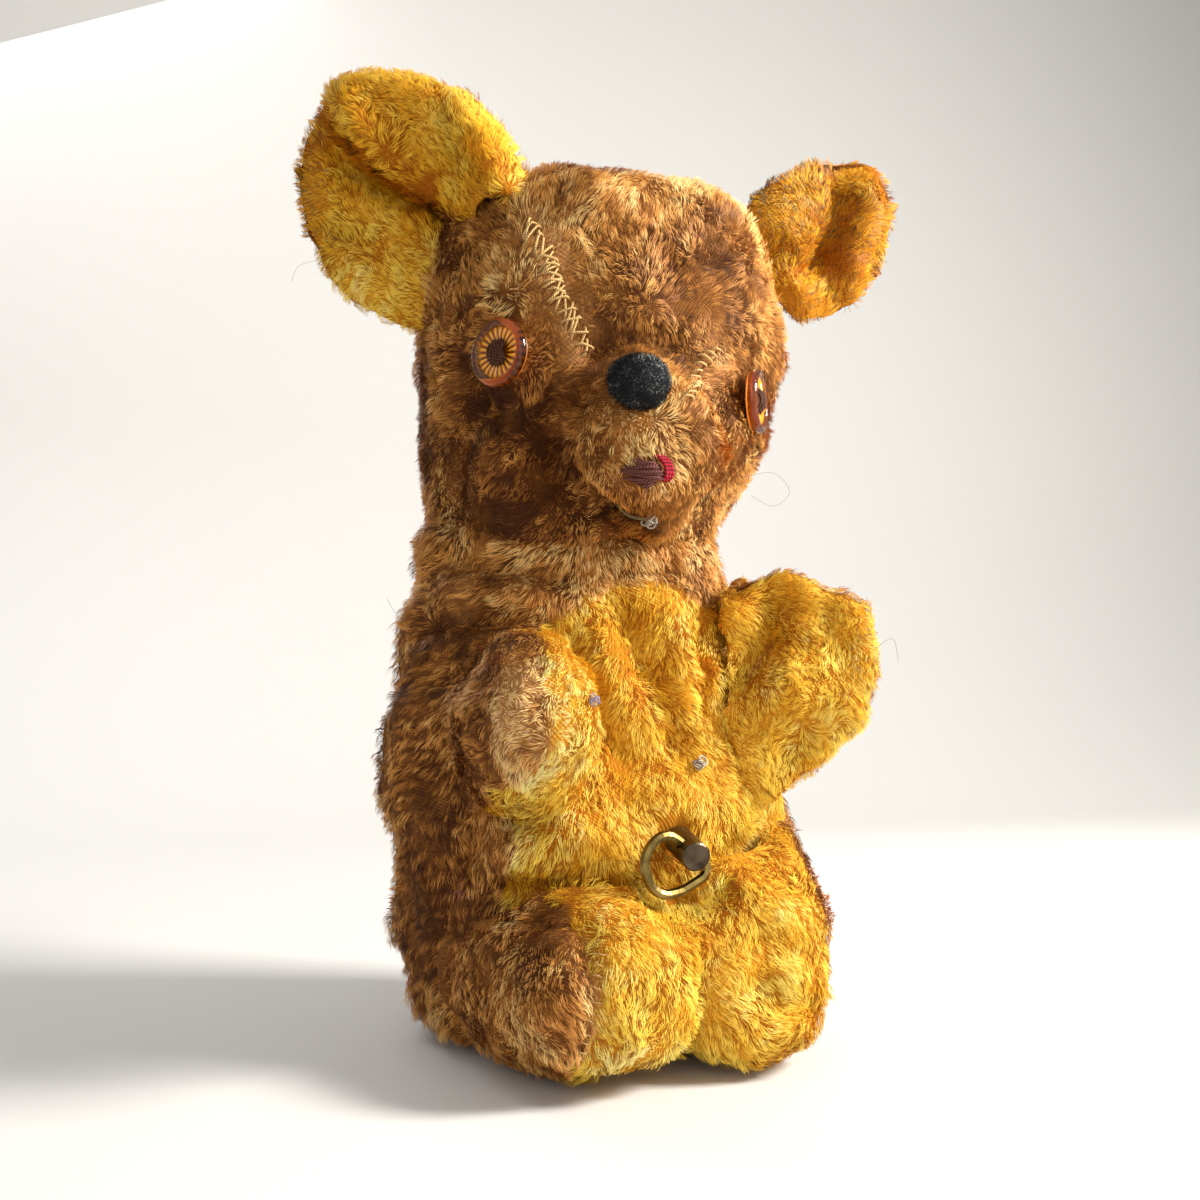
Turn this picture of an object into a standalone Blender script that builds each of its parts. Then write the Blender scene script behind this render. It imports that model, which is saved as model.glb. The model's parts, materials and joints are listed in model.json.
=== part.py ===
"""Threadbare musical teddy bear, sitting: a stuffed plush bear with a wind-up movement in its belly.

Metres, +Z up. The bear faces -Y, and its own right side is at -X. The origin is on the surface that it sits
on, under the torso. Run it with: blender --background --python part.py
"""

import math

import bmesh
import bpy
from mathutils import Matrix, Vector

MM = 0.001
GAP = 0.3 * MM  # between pieces that touch

# Driving dimensions.
TORSO_TOP = 140 * MM  # the neck seam
SNOUT_AT = Vector((-4 * MM, -49 * MM, 162 * MM))
SNOUT_SIZE = Vector((21 * MM, 24 * MM, 23 * MM))  # half width, depth and height
BUTTON_R = 9.25 * MM  # the eyes are two-hole coat buttons
BUTTON_THICK = 4.2 * MM
NOSE_R = 7.8 * MM
EAR_THICK = 8.5 * MM  # half the pad's thickness before it is cupped
EAR_CUP = 6.0 * MM

KEY_AT = Vector((3.8 * MM, -52.9 * MM, 59.3 * MM))  # where the winding post leaves the belly
KEY_DIP = math.radians(14)  # the post points forward and this far down
POST_R = 3.75 * MM
POST_LENGTH = 13.5 * MM
ARBOR_FRONT = 6.2 * MM  # how far the arbor reaches into the post
CROSS_HOLE_AT = 8.8 * MM  # along the post
CROSS_TURN = math.radians(40)  # how far the key was left turned from level
WIRE_R = 1.3 * MM

CAN_R = 25.5 * MM
CAN_FRONT = -19 * MM  # along the winding axis, behind the belly's surface
CAN_BACK = -47.5 * MM
CAN_WALL = 0.7 * MM

GEAR_MODULE = 0.45 * MM
GREAT_WHEEL_TEETH = 60
PINION_TEETH = 12
WORM_MODULE = 0.4 * MM
WORM_WHEEL_TEETH = 24
WORM_R = 1.3 * MM  # at the pitch line
ARBOR_R = 1.5 * MM
SHAFT_R = 0.8 * MM
CYLINDER_R = 4.1 * MM
CYLINDER_OFFSET = GEAR_MODULE * (GREAT_WHEEL_TEETH + PINION_TEETH) / 2  # from the winding axis

FUR_BROWN = (0.33, 0.15, 0.06)
FUR_GOLD = (0.62, 0.36, 0.07)
AMBER = (0.85, 0.27, 0.02)
THREAD = (0.07, 0.03, 0.02)
FELT = (0.02, 0.02, 0.02)
MAROON = (0.2, 0.03, 0.04)
RED = (0.5, 0.02, 0.04)
GUNMETAL = (0.16, 0.13, 0.11)
BRASS = (0.5, 0.38, 0.17)
STEEL = (0.45, 0.45, 0.47)
TIN = (0.55, 0.54, 0.5)


for old in list(bpy.data.objects):
    bpy.data.objects.remove(old)

bear = bpy.data.collections.new("teddy_bear")
cutters = bpy.data.collections.new("cutters")
bpy.context.scene.collection.children.link(bear)
bpy.context.scene.collection.children.link(cutters)

# The winding axis: local +Z runs forward along the post, and local +X along the loop's cross hole.
POST_AXIS = Vector((0, -math.cos(KEY_DIP), -math.sin(KEY_DIP)))
POST_UP = Vector((0, -math.sin(KEY_DIP), math.cos(KEY_DIP)))
CROSS_AXIS = Vector((1, 0, 0)) * math.cos(CROSS_TURN) - POST_UP * math.sin(CROSS_TURN)
winding_axis = bpy.data.objects.new("winding_axis", None)
bear.objects.link(winding_axis)
turned = Matrix((CROSS_AXIS, POST_AXIS.cross(CROSS_AXIS), POST_AXIS)).transposed()
winding_axis.matrix_world = Matrix.Translation(KEY_AT) @ turned.to_4x4()
WINDING = winding_axis.matrix_world.copy()


# ---------------------------------------------------------------- helpers


def finish(name, colour, metallic, roughness):
    """A Principled material."""
    material = bpy.data.materials.get(name) or bpy.data.materials.new(name)
    material.use_nodes = True
    shader = material.node_tree.nodes["Principled BSDF"]
    shader.inputs["Base Color"].default_value = (*colour, 1)
    shader.inputs["Metallic"].default_value = metallic
    shader.inputs["Roughness"].default_value = roughness
    return material


def add(name, mesh, colour, metallic=0.0, roughness=0.9, place=None, smooth=40):
    """A named piece of the bear. Its place is relative to the world, or to the winding axis."""
    mesh.name = name
    piece = bpy.data.objects.new(name, mesh)
    mesh.materials.clear()
    mesh.materials.append(finish(name, colour, metallic, roughness))
    mesh.shade_smooth()
    mesh.set_sharp_from_angle(angle=math.radians(smooth))
    bear.objects.link(piece)
    if place is not None:
        piece.matrix_world = place
    return piece


def mesh_from(work):
    """A mesh datablock from a bmesh, faces outward."""
    bmesh.ops.remove_doubles(work, verts=work.verts, dist=0.002 * MM)
    bmesh.ops.recalc_face_normals(work, faces=work.faces)
    mesh = bpy.data.meshes.new("work")
    work.to_mesh(mesh)
    work.free()
    return mesh


def cylinder(radius, low, high, sides=32, centre=(0, 0)):
    """A rod along local Z from low to high."""
    work = bmesh.new()
    middle = Matrix.Translation((centre[0], centre[1], (low + high) / 2))
    bmesh.ops.create_cone(
        work, cap_ends=True, segments=sides, radius1=radius, radius2=radius, depth=high - low, matrix=middle
    )
    return mesh_from(work)


def ball(half_size, sides=16, rings=10):
    """An ellipsoid about the origin."""
    work = bmesh.new()
    bmesh.ops.create_uvsphere(work, u_segments=sides, v_segments=rings, radius=1)
    bmesh.ops.scale(work, verts=work.verts, vec=half_size)
    return mesh_from(work)


def box(low, high):
    """A block between two corners."""
    low, high = Vector(low), Vector(high)
    work = bmesh.new()
    place = Matrix.Translation((low + high) / 2) @ Matrix.Diagonal((*(high - low), 1))
    bmesh.ops.create_cube(work, size=1, matrix=place)
    return mesh_from(work)


def turned_profile(profile, sides=32):
    """A solid of revolution about local Z. The profile is (radius, z), closed at the axis or as a ring."""
    work = bmesh.new()
    points = [work.verts.new((radius, 0, z)) for radius, z in profile]
    closed = all(radius > 0 for radius, _ in profile)
    pairs = list(zip(points, points[1:] + points[:1])) if closed else list(zip(points, points[1:]))
    edges = [work.edges.new(pair) for pair in pairs]
    full = 2 * math.pi
    bmesh.ops.spin(
        work, geom=points + edges, cent=(0, 0, 0), axis=(0, 0, 1), angle=full, steps=sides, use_merge=True
    )
    return mesh_from(work)


def as_tool(mesh, name="cutter", place=None):
    """A hidden object for a Boolean to use."""
    tool = bpy.data.objects.new(name, mesh)
    cutters.objects.link(tool)
    tool.hide_render = True
    tool.display_type = "WIRE"
    if place is not None:
        tool.matrix_world = place
    return tool


def boolean(piece, mesh, operation="DIFFERENCE", place=None):
    """Cuts a shape out of a piece, or joins it on, and keeps the result."""
    tool = as_tool(mesh, piece.name + "_cutter", piece.matrix_world if place is None else place)
    modifier = piece.modifiers.new(operation.lower(), "BOOLEAN")
    modifier.operation = operation
    modifier.solver = "EXACT"
    modifier.object = tool
    apply_modifiers(piece)
    return piece


def apply_modifiers(piece):
    """Bakes a piece's modifiers into its mesh."""
    bpy.context.view_layer.update()
    seen = piece.evaluated_get(bpy.context.evaluated_depsgraph_get())
    mesh = bpy.data.meshes.new_from_object(seen)
    piece.modifiers.clear()
    piece.data = mesh
    mesh.name = piece.name
    return piece


def grown(piece, gap):
    """A copy of a piece's mesh, in the world, moved out along its normals by a gap."""
    work = bmesh.new()
    work.from_mesh(piece.data)
    work.transform(piece.matrix_world)
    bmesh.ops.recalc_face_normals(work, faces=work.faces)
    work.normal_update()
    moved = [vert.co + vert.normal * gap for vert in work.verts]
    for vert, place in zip(work.verts, moved):
        vert.co = place
    return mesh_from(work)


def keep_clear(piece, *neighbours, gap=GAP):
    """Cuts a stuffed piece where it meets its neighbours, so that they lie face to face."""
    for neighbour in neighbours:
        boolean(piece, grown(neighbour, gap), place=Matrix())
    return piece


# ---------------------------------------------------------------- stuffed pieces


def stuffed(name, rings, colour, sides=12, square=2.2, levels=1, along=None, taper=0.0):
    """A stuffed piece: a coarse cage of rings, smoothed by subdivision.

    Each ring is (centre, half width, half height) in mm. Without along, the rings are level. With it, each
    ring stands across the path from one centre to the next, and its half height is measured upwards. A taper
    narrows the front of the +X side of level rings.
    """
    work = bmesh.new()
    cage = []
    centres = [Vector(ring[0]) * MM for ring in rings]
    for index, (_, half_width, half_height) in enumerate(rings):
        if along is None:
            across, upward = Vector((1, 0, 0)), Vector((0, 1, 0))
        else:
            before = centres[max(index - 1, 0)]
            after = centres[min(index + 1, len(centres) - 1)]
            path = (after - before).normalized()
            across = path.cross(Vector(along)).normalized()
            upward = across.cross(path).normalized()
        ring = []
        for step in range(sides):
            turn = 2 * math.pi * step / sides
            cosine, sine = math.cos(turn), math.sin(turn)
            reach = (abs(cosine) ** square + abs(sine) ** square) ** (-1 / square)
            narrowed = 1 - taper * max(-sine, 0) * (cosine > 0)
            offset = across * (half_width * cosine * narrowed) + upward * (half_height * sine)
            ring.append(work.verts.new(centres[index] + offset * reach * MM))
        cage.append(ring)
    for low, high in zip(cage, cage[1:]):
        for step in range(sides):
            after = (step + 1) % sides
            work.faces.new((low[step], low[after], high[after], high[step]))
    work.faces.new(cage[0])
    work.faces.new(cage[-1])
    piece = add(name, mesh_from(work), colour, smooth=180)
    rounding = piece.modifiers.new("stuffing", "SUBSURF")
    rounding.levels = levels
    rounding.render_levels = levels
    return apply_modifiers(piece)


def flatten_below(piece, height=0.0):
    """Presses a piece flat on the surface that it sits on."""
    return boolean(piece, box((-0.3, -0.3, height - 0.2), (0.3, 0.3, height)), place=Matrix())


def flatten_above(piece, height):
    """Cuts a piece level at a seam."""
    return boolean(piece, box((-0.3, -0.3, height), (0.3, 0.3, height + 0.3)), place=Matrix())


def make_torso():
    """The body bag: gold front and brown back, stuffed round the movement."""
    rings = [
        ((-2, 7, -6), 40, 36),
        ((-2, 6, 3), 52, 46),
        ((-2, 4, 18), 59, 53),
        ((-3, 2, 45), 62, 55),
        ((-4, 2, 78), 61, 53),
        ((-5, 3, 105), 57, 48),
        ((-7, 4, 126), 52, 43),
        ((-8, 5, 142), 47, 39),
        ((-8, 5, 152), 42, 35),
    ]
    torso = stuffed("torso", rings, FUR_GOLD, sides=14)
    flatten_below(torso)
    flatten_above(torso, TORSO_TOP - GAP)
    return torso


def hollow_torso():
    """Leaves room in the stuffing for the movement's can, and a way out for the winding post."""
    pocket = cylinder(CAN_R + 1.6 * MM, CAN_BACK - 2 * MM, CAN_FRONT + 2 * MM, 32)
    boolean(torso, pocket, place=WINDING)
    boolean(torso, cylinder(POST_R + 1.2 * MM, CAN_FRONT, 12 * MM, 24), place=WINDING)


def make_head():
    """The head, with a snout sewn in and a flat top."""
    rings = [
        ((-8, 4, 128), 40, 34),
        ((-7, 3, 139), 44, 40),
        ((-4, 1, 152), 48, 46),
        ((-1, 0, 172), 54, 51),
        ((1, 0, 197), 58, 52),
        ((2, 1, 219), 57, 51),
        ((2, 3, 236), 54, 47),
        ((2, 4, 246), 45, 38),
        ((2, 5, 249), 26, 22),
    ]
    head = stuffed("head", rings, FUR_BROWN, sides=14, square=2.7, taper=0.3)
    boolean(head, ball(SNOUT_SIZE, 16, 10), "UNION", place=Matrix.Translation(SNOUT_AT))
    boolean(head, box((-0.3, -0.3, -0.1), (0.3, 0.3, TORSO_TOP)), place=Matrix())
    return head


def make_ear(name, centre, half_width, half_height, turn, lean):
    """An ear: a thick round pad, cupped forwards."""
    work = bmesh.new()
    bmesh.ops.create_uvsphere(work, u_segments=18, v_segments=10, radius=1)
    for vert in work.verts:
        rim = vert.co.x**2 + vert.co.z**2
        depth = vert.co.y * EAR_THICK + EAR_CUP * (1 - rim)
        vert.co = Vector((vert.co.x * half_width * MM, depth, vert.co.z * half_height * MM))
    turned_to = Matrix.Rotation(math.radians(turn), 4, "Z") @ Matrix.Rotation(math.radians(lean), 4, "Y")
    work.transform(Matrix.Translation(Vector(centre) * MM) @ turned_to)
    return add(name, mesh_from(work), FUR_GOLD, smooth=180)


torso = make_torso()
head = make_head()

ear_right = make_ear("ear_right", (-58, 2, 243), 37, 39, -24, -22)
ear_left = make_ear("ear_left", (80, 8, 246), 24, 33, 6, 32)
keep_clear(ear_right, head)
keep_clear(ear_left, head)

leg_right = stuffed(
    "leg_right",
    [((-29, -4, 29), 15, 15), ((-28, -20, 25), 26, 27), ((-26, -42, 24), 27, 26), ((-24, -62, 24), 24, 24),
     ((-23, -75, 23), 18, 19), ((-23, -80, 23), 10, 11)],
    FUR_BROWN,
    along=(0, 0, 1),
)
leg_left = stuffed(
    "leg_left",
    [((32, -2, 35), 13, 17), ((31, -16, 31), 24, 35), ((30, -36, 28), 24, 32), ((28, -54, 25), 21, 28),
     ((27, -65, 24), 16, 20), ((27, -70, 24), 9, 11)],
    FUR_GOLD,
    along=(0, 0, 1),
)
for leg in (leg_right, leg_left):
    flatten_below(leg)
    keep_clear(leg, torso)

arm_right = stuffed(
    "arm_right",
    [((-33, -10, 86), 14, 25), ((-35, -26, 87), 18, 29), ((-35, -46, 89), 18, 27), ((-36, -62, 94), 16, 22),
     ((-37, -73, 97), 12, 16), ((-37, -78, 98), 7, 9)],
    FUR_BROWN,
    along=(0, 0, 1),
)
arm_left = stuffed(
    "arm_left",
    [((18, -12, 97), 14, 27), ((30, -24, 100), 17, 33), ((42, -35, 105), 17, 31), ((52, -42, 110), 15, 26),
     ((60, -47, 114), 11, 18), ((64, -49, 116), 6, 10)],
    FUR_GOLD,
    along=(0, 0, 1),
)
for arm in (arm_right, arm_left):
    keep_clear(arm, torso)
hollow_torso()


# ---------------------------------------------------------------- face


def facing(at, turn, tip=0.0):
    """A place on the head whose local +Z points out of it: turn is from straight ahead, towards +X."""
    out = Vector((math.sin(math.radians(turn)), -math.cos(math.radians(turn)), math.sin(math.radians(tip))))
    out.normalize()
    across = out.cross(Vector((0, 0, 1))).normalized() * -1
    turned_to = Matrix((across, out.cross(across), out)).transposed()
    return Matrix.Translation(Vector(at) * MM) @ turned_to.to_4x4()


EYE_PLACES = {"right": facing((-39.6, -39.6, 186), -56), "left": facing((33, -36.5, 179), 54)}
NOSE_PLACE = facing((-12, -68.5, 174), -8, 22)
MOUTH_PLACE = facing((-11.3, -71.2, 152), -3, -14)
HOLE_R = 0.9 * MM
HOLE_AT = 1.9 * MM  # from the button's centre
WELL = 2.6 * MM  # height of the button's dished middle


def make_button(side, place):
    """A coat button sewn on for an eye: a round rim, a dished middle and two holes."""
    profile = [
        (0, 0), (BUTTON_R - 0.8 * MM, 0), (BUTTON_R, 1.2 * MM), (BUTTON_R, 2.8 * MM),
        (BUTTON_R - 0.7 * MM, 3.9 * MM), (BUTTON_R - 1.6 * MM, BUTTON_THICK), (BUTTON_R - 2.5 * MM, 3.7 * MM),
        (BUTTON_R - 3.2 * MM, 3.0 * MM), (3.4 * MM, WELL), (0, WELL),
    ]
    button = add("eye_button_" + side, turned_profile(profile, 24), AMBER, roughness=0.15, place=place)
    for centre in (-HOLE_AT, HOLE_AT):
        boolean(button, cylinder(HOLE_R, -1 * MM, 5 * MM, 10, (centre, 0)))
    return button


def make_eye_thread(side, place):
    """The thread that holds a button: two legs through its holes and a knot on top."""
    thread = add("eye_thread_" + side, ball((2.9 * MM, 1.9 * MM, 1.1 * MM), 12, 6), THREAD, place=place)
    thread.data.transform(Matrix.Translation((0, 0, WELL + GAP + 1.1 * MM)))
    for centre in (-HOLE_AT, HOLE_AT):
        leg = cylinder(0.55 * MM, GAP, WELL + GAP + 1.2 * MM, 8, (centre, 0))
        boolean(thread, leg, "UNION")
    return thread


def seat(place, radius, depth=0.0):
    """Presses a round hollow into the head, for something sewn on."""
    boolean(head, cylinder(radius + GAP, -depth - GAP, 14 * MM, 24), place=place)


for side, place in EYE_PLACES.items():
    seat(place, BUTTON_R)
    make_button(side, place)
    make_eye_thread(side, place)

nose = add("nose", ball((NOSE_R, NOSE_R * 0.92, NOSE_R * 0.85), 16, 10), FELT, place=NOSE_PLACE)
boolean(nose, box((-0.02, -0.02, -0.02), (0.02, 0.02, -2.5 * MM)))
keep_clear(head, nose)

STITCH_R = 0.6 * MM
STITCH_STEP = 0.95 * MM  # from row to row
MOUTH_LENGTH = 9 * MM
RED_LENGTH = 3 * MM
RED_RISE = 1.2 * MM  # the red thread sits a row higher than the mouth's middle


def make_stitches(name, rows, length, colour, shift=(0, 0)):
    """Rows of thread sewn side by side, as one raised patch."""
    patch = None
    for row in range(rows):
        from_middle = row - (rows - 1) / 2
        across = length * (1 - 0.12 * abs(from_middle))
        thread = ball((across / 2, STITCH_R, STITCH_R), 8, 6)
        rise = shift[1] + from_middle * STITCH_STEP
        thread.transform(Matrix.Translation((shift[0], rise, STITCH_R + GAP)))
        if patch is None:
            patch = add(name, thread, colour, place=MOUTH_PLACE)
        else:
            boolean(patch, thread, "UNION")
    return patch


make_stitches("mouth_stitches", 5, MOUTH_LENGTH, MAROON)
make_stitches("mouth_red_thread", 3, RED_LENGTH, RED, ((MOUTH_LENGTH + RED_LENGTH) / 2 + GAP, RED_RISE))
seat(MOUTH_PLACE, MOUTH_LENGTH / 2 + RED_LENGTH + MM)


# ---------------------------------------------------------------- winding key


def make_key_post():
    """The winding post: bored at the back for the arbor and across for the loop."""
    low = 0.5 * MM  # just clear of the plush
    chamfer = 0.4 * MM
    profile = [
        (0, low), (POST_R, low), (POST_R, POST_LENGTH - chamfer), (POST_R - chamfer, POST_LENGTH),
        (0, POST_LENGTH),
    ]
    post = add("key_post", turned_profile(profile, 24), GUNMETAL, 1.0, 0.45, WINDING)
    boolean(post, cylinder(ARBOR_R + GAP, -1 * MM, ARBOR_FRONT + GAP, 16))
    across = cylinder(WIRE_R + GAP, -6 * MM, 6 * MM, 16)
    across.transform(Matrix.Translation((0, 0, CROSS_HOLE_AT)) @ Matrix.Rotation(math.pi / 2, 4, "Y"))
    boolean(post, across)
    return post


def make_key_loop():
    """The finger loop: one wire bent into a lopsided D, its two ends in the post's cross hole.

    It hangs from the cross hole, so its plane holds the cross axis and the lowest direction square to it.
    Points are (along the cross axis, down the hang) in mm.
    """
    centre = WINDING @ Vector((0, 0, CROSS_HOLE_AT))
    down = Vector((0, 0, -1)) - CROSS_AXIS * (Vector((0, 0, -1)).dot(CROSS_AXIS))
    down.normalize()
    points = [
        (-0.5, 0), (-4.2, 0), (-8.0, 1.0), (-10.1, 4.6), (-9.5, 9.2), (-6.2, 12.5), (-1.3, 13.4), (3.0, 10.5),
        (6.0, 5.5), (7.3, 2.0), (6.2, 0.1), (4.2, 0), (0.5, 0),
    ]
    curve = bpy.data.curves.new("key_loop", "CURVE")
    curve.dimensions = "3D"
    curve.bevel_depth = WIRE_R
    curve.bevel_resolution = 2
    curve.resolution_u = 3
    curve.use_fill_caps = True
    spline = curve.splines.new("BEZIER")
    spline.bezier_points.add(len(points) - 1)
    for knot, (along, hang) in zip(spline.bezier_points, points):
        knot.co = centre + CROSS_AXIS * (along * MM) + down * (hang * MM)
        knot.handle_left_type = knot.handle_right_type = "AUTO"
    wire = bpy.data.objects.new("key_loop_wire", curve)
    bear.objects.link(wire)
    bpy.context.view_layer.update()
    mesh = bpy.data.meshes.new_from_object(wire.evaluated_get(bpy.context.evaluated_depsgraph_get()))
    bpy.data.objects.remove(wire)
    work = bmesh.new()
    work.from_mesh(mesh)
    return add("key_loop", mesh_from(work), BRASS, 1.0, 0.35, smooth=60)


key_post = make_key_post()
key_loop = make_key_loop()


# ---------------------------------------------------------------- wind-up movement

# Places along the winding axis, from the front of the can to its back.
FRONT_PLATE = (-21.3 * MM, -20.3 * MM)
WORM_AT = -25.3 * MM
GREAT_WHEEL = (-30.1 * MM, -28.8 * MM)
PINION = (-30.6 * MM, -28.3 * MM)
CYLINDER = (-42.8 * MM, -31.8 * MM)
BARREL = (-44.2 * MM, -33.3 * MM)
REAR_PLATE = (-45.8 * MM, -44.8 * MM)
PLATE_R = 23.5 * MM
PILLAR_R = 1.8 * MM
PILLAR_AT = 21 * MM  # from the winding axis
PILLAR_TURNS = (10, 170, 270)  # degrees round it
SCREW_R = 0.8 * MM
BARREL_R = 11 * MM
WORM_OFFSET = WORM_MODULE * WORM_WHEEL_TEETH / 2 + WORM_R
WORM_LENGTH = 5 * MM

# The movement has its cylinder straight above the winding axis, so it is turned back by the key's turn.
MOVEMENT = WINDING @ Matrix.Rotation(CROSS_TURN, 4, "Z")


def around(turn, radius):
    """A point round the winding axis."""
    return radius * math.cos(math.radians(turn)), radius * math.sin(math.radians(turn))


PILLARS = [around(turn, PILLAR_AT) for turn in PILLAR_TURNS]


def make_gear(name, teeth, module, low, high, bore, centre=(0, 0), phase=0.0, twist=0.0, colour=BRASS):
    """A spur wheel with straight-sided teeth. Phase is the angle of one tooth, and twist skews the teeth."""
    pitch_r = module * teeth / 2
    tip_r, root_r = pitch_r + 0.9 * module, pitch_r - 1.2 * module
    step = 2 * math.pi / teeth
    work = bmesh.new()
    levels = []
    for height, skew in ((low, -twist / 2), (high, twist / 2)):
        level = []
        for tooth in range(teeth):
            for radius, offset in ((root_r, -0.21), (tip_r, -0.11), (tip_r, 0.11), (root_r, 0.21)):
                turn = phase + skew + (tooth + offset) * step
                point = (centre[0] + radius * math.cos(turn), centre[1] + radius * math.sin(turn), height)
                level.append(work.verts.new(point))
        levels.append(level)
    count = len(levels[0])
    for index in range(count):
        after = (index + 1) % count
        work.faces.new((levels[0][index], levels[0][after], levels[1][after], levels[1][index]))
    work.faces.new(levels[0])
    work.faces.new(levels[1])
    gear = add(name, mesh_from(work), colour, 1.0, 0.4, MOVEMENT, smooth=20)
    return boolean(gear, cylinder(bore, low - MM, high + MM, 20, centre))


def make_worm():
    """The governor: an endless screw and a fan on one upright shaft, along local +Y."""
    pitch = math.pi * WORM_MODULE
    turns, rows = 12, 32
    root = WORM_R - 1.25 * WORM_MODULE
    tip = WORM_R + 0.8 * WORM_MODULE
    middle = CYLINDER_OFFSET
    work = bmesh.new()
    rings = []
    for row in range(rows + 1):
        along = WORM_LENGTH * (row / rows - 0.5)
        ring = []
        for index in range(turns):
            turn = 2 * math.pi * index / turns
            across = abs((along / pitch - index / turns) % 1 - 0.5)  # 0 at the ridge
            radius = tip + (root - tip) * min(max((across - 0.13) / 0.14, 0), 1)
            place = (-WORM_OFFSET + radius * math.cos(turn), middle + along, WORM_AT - radius * math.sin(turn))
            ring.append(work.verts.new(place))
        rings.append(ring)
    for low, high in zip(rings, rings[1:]):
        for index in range(turns):
            after = (index + 1) % turns
            work.faces.new((low[index], low[after], high[after], high[index]))
    work.faces.new(rings[0])
    work.faces.new(rings[-1])
    worm = add("governor_worm", mesh_from(work), STEEL, 1.0, 0.35, MOVEMENT)
    shaft = cylinder(0.5 * MM, middle - 8.0 * MM, middle + 3.5 * MM, 12)
    shaft.transform(Matrix.Translation((-WORM_OFFSET, 0, WORM_AT)) @ Matrix.Rotation(-math.pi / 2, 4, "X"))
    boolean(worm, shaft, "UNION")
    fan = box(
        (-WORM_OFFSET - 2.8 * MM, middle - 6.9 * MM, WORM_AT - 0.2 * MM),
        (-WORM_OFFSET + 2.8 * MM, middle - 5.4 * MM, WORM_AT + 0.2 * MM),
    )
    boolean(worm, fan, "UNION")
    return worm


def make_case():
    """The tin can that keeps the stuffing out of the movement, and its lid."""
    inner = CAN_R - CAN_WALL
    wall = [
        (4.5 * MM, CAN_FRONT), (CAN_R - 0.8 * MM, CAN_FRONT), (CAN_R, CAN_FRONT - 0.8 * MM), (CAN_R, CAN_BACK),
        (inner, CAN_BACK), (inner, CAN_FRONT - CAN_WALL), (4.5 * MM, CAN_FRONT - CAN_WALL),
    ]
    can = add("movement_can", turned_profile(wall, 32), TIN, 1.0, 0.4, MOVEMENT)
    for point in PILLARS:
        boolean(can, cylinder(SCREW_R + GAP, CAN_FRONT - 2 * MM, CAN_FRONT + MM, 12, point))
    skirt = CAN_R + GAP
    back = CAN_BACK - GAP
    lid = [
        (0, back - CAN_WALL), (skirt + CAN_WALL, back - CAN_WALL), (skirt + CAN_WALL, back + 5 * MM),
        (skirt, back + 5 * MM), (skirt, back), (0, back),
    ]
    add("movement_lid", turned_profile(lid, 32), TIN, 1.0, 0.4, MOVEMENT)


def make_plates():
    """Two brass plates on three pillars, held in the can by three screws."""
    for name, (low, high) in (("front_plate", FRONT_PLATE), ("rear_plate", REAR_PLATE)):
        plate = add(name, cylinder(PLATE_R, low, high, 32), BRASS, 1.0, 0.4, MOVEMENT, smooth=30)
        boolean(plate, cylinder(ARBOR_R + GAP, low - MM, high + MM, 16))
        boolean(plate, cylinder(SHAFT_R + GAP, low - MM, high + MM, 12, (0, CYLINDER_OFFSET)))
        if name == "front_plate":
            for point in PILLARS:
                boolean(plate, cylinder(SCREW_R + GAP, low - MM, high + MM, 12, point))
    head_low = CAN_FRONT + GAP
    for number, point in enumerate(PILLARS, 1):
        pillar = cylinder(PILLAR_R, REAR_PLATE[1] + GAP, FRONT_PLATE[0] - GAP, 16, point)
        pillar = add(f"pillar_{number}", pillar, BRASS, 1.0, 0.4, MOVEMENT)
        boolean(pillar, cylinder(SCREW_R + GAP, FRONT_PLATE[0] - 3.5 * MM, FRONT_PLATE[0], 12, point))
        screw = cylinder(SCREW_R, FRONT_PLATE[0] - 3 * MM, head_low + 0.2 * MM, 12, point)
        screw = add(f"case_screw_{number}", screw, STEEL, 1.0, 0.35, MOVEMENT)
        boolean(screw, cylinder(1.9 * MM, head_low, head_low + 1.1 * MM, 16, point), "UNION")
        slot = box(
            (point[0] - 2 * MM, point[1] - 0.25 * MM, head_low + 0.6 * MM),
            (point[0] + 2 * MM, point[1] + 0.25 * MM, head_low + 2 * MM),
        )
        boolean(screw, slot)


def make_barrel_and_spring():
    """The spring's drum, open to the front, and the coiled mainspring in it."""
    low, high = BARREL
    wall = 0.7 * MM
    drum = [
        (ARBOR_R + GAP, low), (BARREL_R, low), (BARREL_R, high), (BARREL_R - wall, high),
        (BARREL_R - wall, low + wall), (ARBOR_R + GAP, low + wall),
    ]
    add("spring_barrel", turned_profile(drum, 24), BRASS, 1.0, 0.4, MOVEMENT)
    coils, per_coil = 4, 14
    start, end = ARBOR_R + 1.2 * MM, BARREL_R - wall - 0.5 * MM
    strip = 0.35 * MM
    bottom, top = low + 1.5 * MM, high - MM
    work = bmesh.new()
    sections = []
    for step in range(coils * per_coil + 1):
        turn = 2 * math.pi * step / per_coil
        radius = start + (end - start) * step / (coils * per_coil)
        section = []
        for across, height in (
            (-strip / 2, bottom), (strip / 2, bottom), (strip / 2, top), (-strip / 2, top)
        ):
            reach = radius + across
            section.append(work.verts.new((reach * math.cos(turn), reach * math.sin(turn), height)))
        sections.append(section)
    for before, after in zip(sections, sections[1:]):
        for index in range(4):
            following = (index + 1) % 4
            work.faces.new((before[index], before[following], after[following], after[index]))
    work.faces.new(sections[0])
    work.faces.new(sections[-1])
    add("mainspring", mesh_from(work), STEEL, 1.0, 0.3, MOVEMENT, smooth=30)


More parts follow.
